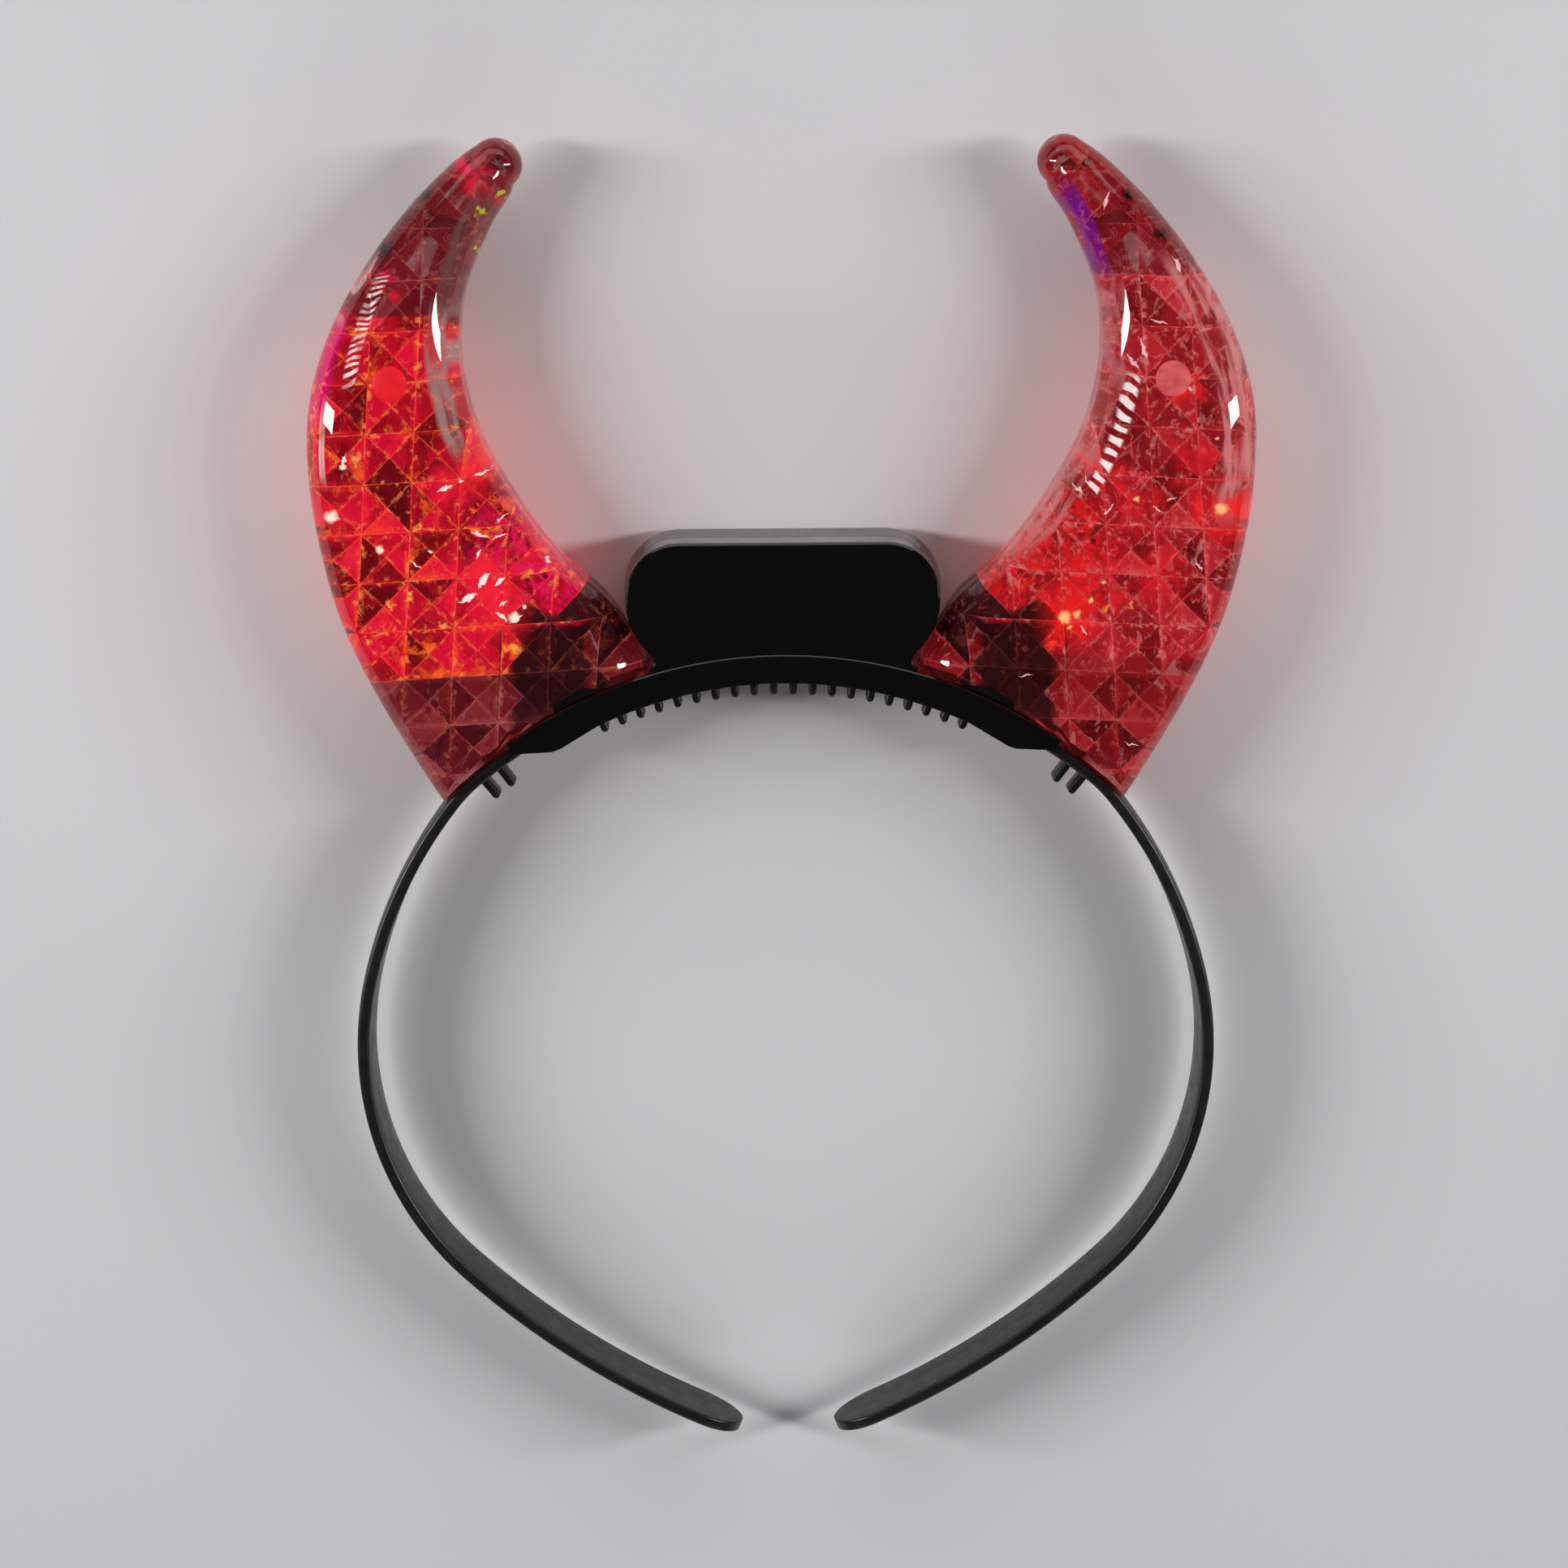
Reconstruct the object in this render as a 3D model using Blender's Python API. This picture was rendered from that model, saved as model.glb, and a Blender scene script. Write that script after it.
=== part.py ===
"""Light-up horned headband: a comb band, a two-shell battery housing clipped over its top, and two
hollow clear horns with a faceted inside, each lit by an LED on a post.

The object lies on the backs of its horns. +X is to the right as seen from the front, +Y runs from
the arm tips to the horn tips and +Z out of the front. Left and right in the names are also as seen
from the front. Shapes are drawn for the right half (+X) and the front half (+Z) of a design frame
whose mid planes are X = 0 and Z = 0, and mirrored from there.
"""
import math

import bmesh
import bpy
from mathutils import Vector

MM = 0.001

# Clearances
GAP = 0.3 * MM                # between pieces that touch
SEAM = GAP / 2                # half of the gap at the parting plane Z = 0
SHARP_ANGLE = 32.0            # degrees, edges sharper than this are drawn sharp

# Headband: outer face at the middle, then arcs of (radius, sweep in degrees) down each side
BAND_TOP = 21.2 * MM
BAND_ARCS = (
    (79.5 * MM, 39.5),
    (25.7 * MM, 11.6),
    (75.9 * MM, 26.0),
    (53.1 * MM, 60.0),
    (141.9 * MM, 21.6),
)
BAND_THICKNESS = 2.3 * MM     # at the crown
BAND_WIDTH = 13.5 * MM        # at the middle
BAND_TIP_WIDTH = 12.4 * MM
BAND_CROWN = 0.4 * MM
BAND_EDGE = 0.3 * MM
BAND_TIP_LENGTH = 7.2 * MM    # length of the rounded tip
BAND_TIP_ANGLES = (0, 20, 38, 54, 68, 80, 87)      # degrees around the rounded tip
ARC_STEP = 5.0                # degrees between sections of the band

# Comb teeth: ribs on the band's inner face
TOOTH_PITCH = 3.37 * MM       # along the band's outer face
TOOTH_WIDTH = 1.25 * MM
TOOTH_DEPTH = 5.0 * MM        # across the band
TOOTH_LENGTH = 3.8 * MM
TOOTH_ROOT = 0.5 * MM         # how far a tooth starts inside the band
TEETH_IN_CHANNEL = 10         # on each side of the middle
TEETH_PAST_FOOT = (51.1 * MM, 54.5 * MM)      # distances from the middle

# Rail and feet: the arched base of the housing, which the horns stand on
RAIL_TOP_CENTRE_Y = -54.4 * MM
RAIL_TOP_RADIUS = 77.1 * MM
RAIL_LOW_CENTRE_Y = -52.0 * MM
RAIL_LOW_RADIUS = 69.6 * MM
RAIL_STEP = 2.6               # degrees between points of the rail's arcs
FOOT_START_X = 29.8 * MM      # where the rail's underside turns into the foot
FOOT_EASE = (35.8 * MM, 7.25 * MM)
FOOT_CORNER = (37.2 * MM, 6.7 * MM)
FOOT_END_LOW = (43.2 * MM, 6.4 * MM)
FOOT_END_TOP_X = 45.0 * MM
COMB_SLOT_LOW = 1.7 * MM      # the comb's slot runs out of the underside down to this height

# Housing box
BOX_TOP = 40.5 * MM           # these are the sizes at the parting plane
BOX_HALF_WIDTH = 25.3 * MM
BOX_CORNER_RADIUS = 8.6 * MM
BOX_SIDE_CENTRE_Y = 31.0 * MM
BOX_SIDE_RADIUS = 11.5 * MM
BOX_SIDE_END = -48.0          # degrees, where the side turns into the rail's fillet
NECK_FILLET = 1.5 * MM
NECK_FILLET_END = 240.0       # degrees
NECK_SINK = 4.0 * MM          # how far the box's outline goes down into the rail
BOX_HALF_DEPTH = 8.0 * MM
BOX_WALL = 1.8 * MM
BOX_HOLLOW_LOW = 24.2 * MM    # the battery space ends here, above the rail
BOX_HOLLOW_TRIM = 3.0 * MM    # how far below that its outline is still followed
# Draft and edge rounding, in mm: height above the parting plane and how far the outline moves in
BOX_DRAFT = {1: ((0.0, 0.0), (7.3, 0.12), (7.8, 0.24), (8.0, 0.5)),
             -1: ((0.0, 0.0), (7.2, -0.6), (7.75, -0.5), (8.0, -0.2))}
RAIL_DRAFT = {1: ((0.0, 0.0), (7.9, 0.15), (8.45, 0.25), (8.6, 0.45)),
              -1: ((0.0, 0.0), (7.9, -0.1), (8.4, 0.0), (8.6, 0.3))}

# Horn: rungs across the outline from its base to its tip, right-hand side, all in mm
#            outer_x outer_y inner_x inner_y half_depth
HORN_RUNGS = (
    (53.3, -4.6, 23.2, 12.0, 10.5),
    (60.1, 6.2, 22.6, 21.2, 10.5),
    (66.8, 18.2, 25.1, 26.2, 10.5),
    (71.4, 29.0, 28.6, 31.6, 10.5),
    (74.3, 40.7, 36.2, 38.4, 10.5),
    (75.6, 51.2, 43.0, 47.6, 10.5),
    (75.4, 61.6, 48.6, 58.3, 10.2),
    (72.6, 72.0, 51.1, 69.5, 9.4),
    (67.4, 82.2, 50.3, 80.0, 8.2),
    (59.8, 92.5, 46.3, 89.8, 6.8),
    (52.2, 100.1, 43.0, 95.0, 5.6),
    (47.7, 103.3, 42.3, 96.9, 4.7),
)
HORN_SHOULDER = 6.5 * MM      # rounding between a face and the side wall
HORN_WALL = 1.7 * MM
HORN_STEPS = 2                # sections from one rung to the next
SHOULDER_SEGMENTS = {"shell": 4, "cavity": 2}
SHOULDER_LIMIT = 0.96         # the rounding's largest share of a section's width and depth
TIP_ANGLES = (22.0, 44.0, 64.0, 80.0)
CAVITY_FLOOR = -1.5 * MM      # the cavity runs out through the parting plane
HORN_SEAT_RADIUS = RAIL_TOP_RADIUS + GAP
HORN_SEAT_HEADING = 66.0      # degrees, the band's heading beyond a horn's outer corner
HORN_SEAT_START = 82.0        # degrees, the rail's direction short of a horn's inner corner
SEAT_REACH = 12.0 * MM        # how far below the seat the trimming bodies go

# Pyramids moulded inside the horn's faces: a leaning grid of square cells
CELL_ORIGIN = (52.9 * MM, 19.4 * MM)
CELL_ACROSS = (7.7 * MM, -0.4 * MM)
CELL_UP = (-0.5 * MM, 7.9 * MM)
CELLS_ACROSS = range(-5, 4)
CELLS_UP = range(-3, 11)
CELL_RISE = 1.7 * MM
CELL_FLOOR = -2.0 * MM

# Boss that joins a horn's two halves
BOSS_CENTRE = (61.9 * MM, 66.0 * MM)
BOSS_RADIUS = 2.75 * MM
BOSS_STEP = 24.0              # degrees

# LED and its holder
HOLDER_OUTLINE = (            # mm, from the foot up the inner side and back down
    (29.2, 12.0), (29.2, 20.5), (30.0, 28.5), (31.0, 29.1), (36.5, 29.1),
    (43.3, 28.4), (43.3, 22.6), (37.8, 20.8), (37.2, 18.5), (37.2, 7.0),
)
HOLDER_HALF_DEPTH = 4.0 * MM
HOLDER_HOLE = ((28.8, 4.0), (37.6, 4.0), (37.6, 20.0), (28.8, 20.0))     # mm, in the horn's base
LED_SEAT = (43.6 * MM, 25.5 * MM)
LED_PROFILE = (               # mm: distance from the seat and radius
    (0.0, 2.9), (0.9, 2.9), (0.9, 2.5), (3.2, 2.5), (4.5, 2.17), (5.4, 1.3), (5.7, 0.4),
)
LED_SIDES = 12

# Colours
BLACK = (0.012, 0.012, 0.014, 1.0)
CLEAR_RED = (0.80, 0.05, 0.09, 0.45)
LED_RED = (0.95, 0.08, 0.05, 1.0)


def material(name, colour, roughness, transmission=0.0):
    mat = bpy.data.materials.get(name)
    if mat is None:
        mat = bpy.data.materials.new(name)
        mat.use_nodes = True
        mat.diffuse_color = colour
        shader = mat.node_tree.nodes["Principled BSDF"]
        shader.inputs["Base Color"].default_value = colour
        shader.inputs["Roughness"].default_value = roughness
        shader.inputs["Metallic"].default_value = 0.0
        shader.inputs["Transmission Weight"].default_value = transmission
    return mat


def mesh_object(name, bm, side=1, face=1):
    """An object from a bmesh of closed bodies; side and face of -1 mirror it in X and in Z."""
    for vert in bm.verts:
        vert.co.x *= side
        vert.co.z *= face
    bmesh.ops.recalc_face_normals(bm, faces=bm.faces)
    if bm.calc_volume(signed=True) < 0:
        bmesh.ops.reverse_faces(bm, faces=bm.faces)
    mesh = bpy.data.meshes.new(name)
    bm.to_mesh(mesh)
    bm.free()
    mesh.shade_smooth()
    mesh.set_sharp_from_angle(angle=math.radians(SHARP_ANGLE))
    obj = bpy.data.objects.new(name, mesh)
    bpy.context.scene.collection.objects.link(obj)
    return obj


def loft(name, bodies, side=1, face=1):
    """An object whose closed bodies each join a list of loops, capped at both ends."""
    bm = bmesh.new()
    for loops in bodies:
        rings = [[bm.verts.new(p) for p in loop] for loop in loops]
        for low, high in zip(rings, rings[1:]):
            for i in range(len(low)):
                j = (i + 1) % len(low)
                bm.faces.new((low[i], low[j], high[j], high[i]))
        bm.faces.new(rings[0])
        bm.faces.new(rings[-1])
    return mesh_object(name, bm, side, face)


def flat_body(outline, low, high):
    """Loops of an outline extruded from Z = low to Z = high."""
    return [[(x, y, z) for x, y in outline] for z in (low, high)]


def as_tool(obj):
    obj.hide_render = True
    obj.display_type = 'WIRE'
    return obj


def boolean(obj, tool, operation):
    modifier = obj.modifiers.new(operation.title(), 'BOOLEAN')
    modifier.object = as_tool(tool)
    modifier.operation = operation
    modifier.solver = 'EXACT'


def arc(centre, radius, start, end, step=ARC_STEP):
    """Points on an arc, angles in degrees."""
    count = max(2, math.ceil(abs(end - start) / step))
    angles = [math.radians(start + (end - start) * i / count) for i in range(count + 1)]
    return [(centre[0] + radius * math.cos(a), centre[1] + radius * math.sin(a)) for a in angles]


def band_stations(step=ARC_STEP):
    """(distance, x, y, heading) along the band's outer face, from the middle to the right tip."""
    x, y, heading, distance = 0.0, BAND_TOP, 0.0, 0.0
    stations = [(distance, x, y, heading)]
    for radius, sweep in BAND_ARCS:
        sweep = math.radians(sweep)
        centre = (x - radius * math.sin(heading), y - radius * math.cos(heading))
        count = max(2, math.ceil(math.degrees(sweep) / step))
        for i in range(1, count + 1):
            turn = heading + sweep * i / count
            stations.append((distance + radius * sweep * i / count,
                             centre[0] + radius * math.sin(turn),
                             centre[1] + radius * math.cos(turn), turn))
        distance, x, y, heading = stations[-1]
    return stations


def band_point(distance, stations):
    """The station at a distance along the outer face, between its neighbours."""
    for a, b in zip(stations, stations[1:]):
        if distance <= b[0]:
            t = (distance - a[0]) / (b[0] - a[0])
            return tuple(p + (q - p) * t for p, q in zip(a, b))
    return stations[-1]


def off_band(station, out, z, side=1):
    """A point at a height above the outer face, negative towards the head."""
    _, x, y, heading = station
    return (side * (x + out * math.sin(heading)), y + out * math.cos(heading), z)


def band_section(station, half_width, side):
    """The band's cross-section: flat towards the head, crowned outside, with eased edges."""
    edge = min(BAND_EDGE, half_width / 2)
    flat = half_width - edge
    corners = (
        (-BAND_THICKNESS, -flat), (-BAND_THICKNESS, flat), (edge - BAND_THICKNESS, half_width),
        (-BAND_CROWN - edge, half_width), (-BAND_CROWN, flat), (-BAND_CROWN / 4, half_width / 2),
        (0.0, 0.0), (-BAND_CROWN / 4, -half_width / 2), (-BAND_CROWN, -flat),
        (-BAND_CROWN - edge, -half_width), (edge - BAND_THICKNESS, -half_width),
    )
    return [off_band(station, out, z, side) for out, z in corners]


def both_sides(right, section):
    """Sections from the left end over the top to the right end."""
    left = [section(item, -1) for item in reversed(right[1:])]
    return left + [section(item, 1) for item in right]


def make_headband():
    """The springy band from tip to tip, with its comb teeth."""
    stations = band_stations()
    end = stations[-1][0]
    shoulder = end - BAND_TIP_LENGTH

    def half_width(distance):
        return (BAND_WIDTH + (BAND_TIP_WIDTH - BAND_WIDTH) * distance / end) / 2

    right = [(s, half_width(s[0])) for s in stations if s[0] < shoulder - BAND_EDGE]
    for degrees in BAND_TIP_ANGLES:
        angle = math.radians(degrees)
        station = band_point(shoulder + BAND_TIP_LENGTH * math.sin(angle), stations)
        right.append((station, BAND_TIP_WIDTH / 2 * math.cos(angle)))
    loops = both_sides(right, lambda item, side: band_section(item[0], item[1], side))
    band = loft("headband", [loops])
    boolean(band, make_teeth(stations), 'UNION')
    return band


def make_teeth(stations):
    """Teeth that hang from the inner face of the band, each with a round end."""
    half = TOOTH_WIDTH / 2
    root = -BAND_THICKNESS + TOOTH_ROOT
    knee = -BAND_THICKNESS - TOOTH_LENGTH + half
    tip = [(half * math.cos(a), knee - half * math.sin(a))
           for a in (math.radians(d) for d in (0, 45, 90, 135, 180))]
    outline = [(-half, root), (half, root)] + tip
    bodies = []
    for side in (1, -1):
        places = [(i + 0.5) * TOOTH_PITCH for i in range(TEETH_IN_CHANNEL)]
        for place in (*places, *TEETH_PAST_FOOT):
            _, x, y, heading = band_point(place, stations)
            along = Vector((math.cos(heading), -math.sin(heading)))
            out = Vector((math.sin(heading), math.cos(heading)))
            points = [Vector((x, y)) + along * u + out * v for u, v in outline]
            bodies.append(flat_body([(side * p.x, p.y) for p in points],
                                    -TOOTH_DEPTH / 2, TOOTH_DEPTH / 2))
    return loft("tool_teeth", bodies)


def band_space(name, above, below, half_depth):
    """The space along the band's upper run, from below its outer face to above it."""
    stations = [s for s in band_stations() if s[3] < math.radians(HORN_SEAT_HEADING)]
    corners = ((-below, -half_depth), (-below, half_depth), (above, half_depth), (above, -half_depth))

    def section(station, side):
        return [off_band(station, out, z, side) for out, z in corners]

    return loft(name, [both_sides(stations, section)])


def make_band_channel():
    """The space in the housing that the band runs through, and the comb's slot below it."""
    half = BAND_WIDTH / 2 + GAP
    channel = band_space("tool_band_channel", GAP, BAND_THICKNESS + GAP, half)
    stations = band_stations()
    steps = [band_point(i * TOOTH_PITCH, stations) for i in range(TEETH_IN_CHANNEL + 1)]
    top = [off_band(s, -BAND_THICKNESS / 2, 0.0)[:2] for s in steps]
    end = top[-1][0]
    slot = [(-x, y) for x, y in reversed(top[1:])] + top
    slot += [(end, COMB_SLOT_LOW), (-end, COMB_SLOT_LOW)]
    boolean(channel, loft("tool_comb_slot", [flat_body(slot, -half, half)]), 'UNION')
    return channel


def rail_outline():
    """The rail and the right foot, from the middle of the top to the middle of the underside."""
    top_centre = (0.0, RAIL_TOP_CENTRE_Y)
    end = math.degrees(math.acos(FOOT_END_TOP_X / RAIL_TOP_RADIUS))
    low_end = math.degrees(math.acos(FOOT_START_X / RAIL_LOW_RADIUS))
    outline = arc(top_centre, RAIL_TOP_RADIUS, 90, end, RAIL_STEP)
    outline += [FOOT_END_LOW, FOOT_CORNER, FOOT_EASE]
    outline += arc((0.0, RAIL_LOW_CENTRE_Y), RAIL_LOW_RADIUS, low_end, 90, RAIL_STEP)
    return outline


def box_outline():
    """The right half of the housing box, down its side to the rail."""
    corner = (BOX_HALF_WIDTH - BOX_CORNER_RADIUS, BOX_TOP - BOX_CORNER_RADIUS)
    side = (BOX_HALF_WIDTH - BOX_SIDE_RADIUS, BOX_SIDE_CENTRE_Y)
    outline = [(0.0, BOX_TOP)] + arc(corner, BOX_CORNER_RADIUS, 90, 0, 11)
    outline += arc(side, BOX_SIDE_RADIUS, 0, BOX_SIDE_END, 9)
    neck_x, neck_y = outline[-1]
    turn = math.radians(BOX_SIDE_END)
    fillet = (neck_x + NECK_FILLET * math.cos(turn), neck_y + NECK_FILLET * math.sin(turn))
    outline += arc(fillet, NECK_FILLET, 180 + BOX_SIDE_END, NECK_FILLET_END, 20)[1:]
    outline.append((outline[-1][0], neck_y - NECK_SINK))
    outline.append((0.0, neck_y - NECK_SINK))
    return outline


def whole(right):
    """A closed outline from its right half, whose first and last points are on the middle line."""
    return right + [(-x, y) for x, y in reversed(right[1:-1])]


def inset(outline, amount):
    """The outline moved inwards, with mitred corners. It runs clockwise."""
    points = [Vector(p) for p in outline]
    moved = []
    for i, point in enumerate(points):
        before = (point - points[i - 1]).normalized()
        after = (points[(i + 1) % len(points)] - point).normalized()
        normal = (Vector((before.y, -before.x)) + Vector((after.y, -after.x))).normalized()
        reach = amount / max(0.5, normal.dot(Vector((after.y, -after.x))))
        moved.append(tuple(point + normal * reach))
    return moved


def drafted(outline, levels):
    """Loops of an outline that shrinks with height; the first level starts at the parting plane."""
    loops = []
    for height, amount in levels:
        z = max(height * MM, SEAM)
        loops.append([(x, y, z) for x, y in inset(outline, amount * MM)])
    return loops


def clean(outline):
    """The outline without points that repeat their neighbour."""
    return [p for i, p in enumerate(outline) if math.dist(p, outline[i - 1]) > 0.05 * MM]


def make_housing(name, face, channel):
    """One half of the battery housing: a hollow box on the rail, cut out for the band."""
    rail = loft("tool_" + name + "_rail", [drafted(whole(rail_outline()), RAIL_DRAFT[face])], face=face)
    shell = loft(name, [drafted(whole(box_outline()), BOX_DRAFT[face])], face=face)
    hollow = [(x, max(y, BOX_HOLLOW_LOW)) for x, y in inset(whole(box_outline()[:-2]), BOX_WALL)
              if y > BOX_HOLLOW_LOW - BOX_HOLLOW_TRIM]
    space = flat_body(clean(hollow), -SEAM, BOX_HALF_DEPTH - BOX_WALL)
    boolean(shell, loft("tool_" + name + "_hollow", [space], face=face), 'DIFFERENCE')
    boolean(shell, rail, 'UNION')
    boolean(shell, channel, 'DIFFERENCE')
    return shell


def horn_rungs():
    """Rungs read from a smooth curve through the table's rungs, in metres. None is deeper than
    the first, so that the faces are flat."""
    rows = [[v * MM for v in row] for row in HORN_RUNGS]
    rungs = []
    for i in range(len(rows) - 1):
        before, a, b, after = rows[max(i - 1, 0)], rows[i], rows[i + 1], rows[min(i + 2, len(rows) - 1)]
        for k in range(HORN_STEPS):
            t = k / HORN_STEPS
            rungs.append([0.5 * (2 * q + (r - p) * t + (2 * p - 5 * q + 4 * r - s) * t ** 2
                                 + (3 * q - p - 3 * r + s) * t ** 3)
                          for p, q, r, s in zip(before, a, b, after)])
    rungs.append(rows[-1])
    return [rung[:4] + [min(rung[4], rows[0][4])] for rung in rungs]


def horn_section(centre, across, width, depth, round_off, floor, segments):
    """Half of a horn's cross-section: side walls, round shoulders and a flat face."""
    round_off = min(round_off, SHOULDER_LIMIT * width, SHOULDER_LIMIT * (depth - max(floor, 0.0)))
    profile = [(-width, floor)]
    for i in range(segments + 1):
        a = math.radians(90 * i / segments)
        profile.append((-width + round_off * (1 - math.cos(a)), depth - round_off * (1 - math.sin(a))))
    profile += [(-u, z) for u, z in reversed(profile)]
    return [(centre.x + across.x * u, centre.y + across.y * u, z) for u, z in profile]


def horn_loops(kind, wall, floor):
    """Sections of half a horn from its base to its round tip, moved inwards by a wall."""
    loops = []
    segments = SHOULDER_SEGMENTS[kind]
    round_off = HORN_SHOULDER - wall
    for outer_x, outer_y, inner_x, inner_y, half_depth in horn_rungs():
        outer, inner = Vector((outer_x, outer_y)), Vector((inner_x, inner_y))
        centre, across = (outer + inner) / 2, (outer - inner).normalized()
        width, depth = (outer - inner).length / 2 - wall, half_depth - wall
        loops.append(horn_section(centre, across, width, depth, round_off, floor, segments))
    tipward = Vector((-across.y, across.x))
    for degrees in TIP_ANGLES:
        a = math.radians(degrees)
        cap = centre + tipward * width * math.sin(a)
        loops.append(horn_section(cap, across, width * math.cos(a), depth * math.cos(a),
                                  round_off, floor, segments))
    return loops


def seat_body(radius):
    """A sector below an arc about the rail's centre, which trims whatever stands on the rail."""
    centre = (0.0, RAIL_TOP_CENTRE_Y)
    end = math.degrees(math.acos((FOOT_END_TOP_X + 2 * GAP) / RAIL_TOP_RADIUS))
    outline = arc(centre, radius, end, HORN_SEAT_START, RAIL_STEP) + [centre]
    return flat_body(outline, -SEAT_REACH, SEAT_REACH)


def pyramid_field(depth):
    """A slab below a grid of pyramids that point into the horn."""
    def node(i, j, z):
        return (CELL_ORIGIN[0] + i * CELL_ACROSS[0] + j * CELL_UP[0],
                CELL_ORIGIN[1] + i * CELL_ACROSS[1] + j * CELL_UP[1], z)

    bm = bmesh.new()
    columns = range(CELLS_ACROSS.start, CELLS_ACROSS.stop + 1)
    rows = range(CELLS_UP.start, CELLS_UP.stop + 1)
    top = {(i, j): bm.verts.new(node(i, j, depth)) for i in columns for j in rows}
    low = {(i, j): bm.verts.new(node(i, j, CELL_FLOOR)) for i in columns for j in rows}
    for i in CELLS_ACROSS:
        for j in CELLS_UP:
            corners = [(i, j), (i + 1, j), (i + 1, j + 1), (i, j + 1)]
            apex = bm.verts.new(node(i + 0.5, j + 0.5, depth - CELL_RISE))
            for a, b in zip(corners, corners[1:] + corners[:1]):
                bm.faces.new((top[a], top[b], apex))
            bm.faces.new([low[c] for c in reversed(corners)])
    for path in ([(i, rows[0]) for i in columns], [(i, rows[-1]) for i in reversed(columns)],
                 [(columns[-1], j) for j in rows], [(columns[0], j) for j in reversed(rows)]):
        for a, b in zip(path, path[1:]):
            bm.faces.new((low[a], low[b], top[b], top[a]))
    return bm


def make_horn_half(name, side, face):
    """One clear half shell: smooth outside, pyramids inside, open at the parting plane."""
    def tool(kind, bodies):
        return loft("tool_" + name + "_" + kind, bodies, side, face)

    shell = loft(name, [horn_loops("shell", 0.0, SEAM)], side, face)
    cavity = tool("cavity", [horn_loops("cavity", HORN_WALL, CAVITY_FLOOR)])
    inner_depth = HORN_RUNGS[0][4] * MM - HORN_WALL
    field = mesh_object("tool_" + name + "_field", pyramid_field(inner_depth), side, face)
    boolean(cavity, field, 'INTERSECT')
    for body, clear, kind in ((cavity, GAP + HORN_WALL, "floor"), (shell, GAP, "seat")):
        boolean(body, tool(kind, [seat_body(RAIL_TOP_RADIUS + clear)]), 'DIFFERENCE')
        on_band = band_space("tool_" + name + "_" + kind + "_band", clear, SEAT_REACH, SEAT_REACH)
        boolean(body, on_band, 'DIFFERENCE')
    boolean(shell, cavity, 'DIFFERENCE')
    outline = [(x * MM, y * MM) for x, y in HOLDER_HOLE]
    half_depth = HOLDER_HALF_DEPTH + GAP
    boolean(shell, tool("holder_hole", [flat_body(outline, -half_depth, half_depth)]), 'DIFFERENCE')
    boss = arc(BOSS_CENTRE, BOSS_RADIUS, 0, 360, BOSS_STEP)[:-1]
    boolean(shell, tool("boss", [flat_body(boss, SEAM, inner_depth)]), 'UNION')
    return shell


def make_holder(name, side):
    """The post that carries an LED, standing on the rail inside a horn."""
    outline = [(x * MM, y * MM) for x, y in HOLDER_OUTLINE]
    holder = loft(name, [flat_body(outline, -HOLDER_HALF_DEPTH, HOLDER_HALF_DEPTH)], side)
    seat = loft("tool_" + name + "_seat", [seat_body(HORN_SEAT_RADIUS)], side)
    boolean(holder, seat, 'DIFFERENCE')
    return holder


def make_led(name, side):
    """A round lamp that points outwards from its holder."""
    angles = [2 * math.pi * i / LED_SIDES for i in range(LED_SIDES)]
    x, y = LED_SEAT
    loops = [[(x + along * MM, y + radius * MM * math.cos(a), radius * MM * math.sin(a))
              for a in angles] for along, radius in LED_PROFILE]
    return loft(name, [loops], side)


def lay_down(pieces, tools):
    """Parent everything to an empty that puts the pieces' box on the ground at the origin."""
    corners = [vert.co for piece in pieces for vert in piece.data.vertices]
    low = [min(c[i] for c in corners) for i in range(3)]
    high = [max(c[i] for c in corners) for i in range(3)]
    ground = bpy.data.objects.new("ground_point", None)
    bpy.context.scene.collection.objects.link(ground)
    ground.location = (-(low[0] + high[0]) / 2, -(low[1] + high[1]) / 2, -low[2])
    for obj in (*pieces, *tools):
        obj.parent = ground


def build():
    for obj in list(bpy.data.objects):
        bpy.data.objects.remove(obj)
    black = material("black_gloss", BLACK, 0.2)
    clear = material("clear_red", CLEAR_RED, 0.05, 0.9)
    lamp = material("led_red", LED_RED, 0.15)
    pieces = [make_headband()]
    for label, face in (("front", 1), ("back", -1)):
        pieces.append(make_housing("housing_" + label, face, make_band_channel()))
    for hand, side in (("left", -1), ("right", 1)):
        for label, face in (("front", 1), ("back", -1)):
            pieces.append(make_horn_half("horn_" + hand + "_" + label, side, face))
        pieces.append(make_holder("led_holder_" + hand, side))
        pieces.append(make_led("led_" + hand, side))
    for piece in pieces:
        if piece.name.startswith("horn_"):
            piece.data.materials.append(clear)
        elif piece.name in ("led_left", "led_right"):
            piece.data.materials.append(lamp)
        else:
            piece.data.materials.append(black)
    tools = [obj for obj in bpy.data.objects if obj.type == 'MESH' and obj not in pieces]
    lay_down(pieces, tools)


build()
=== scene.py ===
"""Looks for the light-up horned headband: lit faceted horns in clear shells, black plastics, floor,
studio lights and camera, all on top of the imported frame."""

import math

import bmesh
import bpy
import numpy as np
from mathutils import Matrix, Vector


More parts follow.
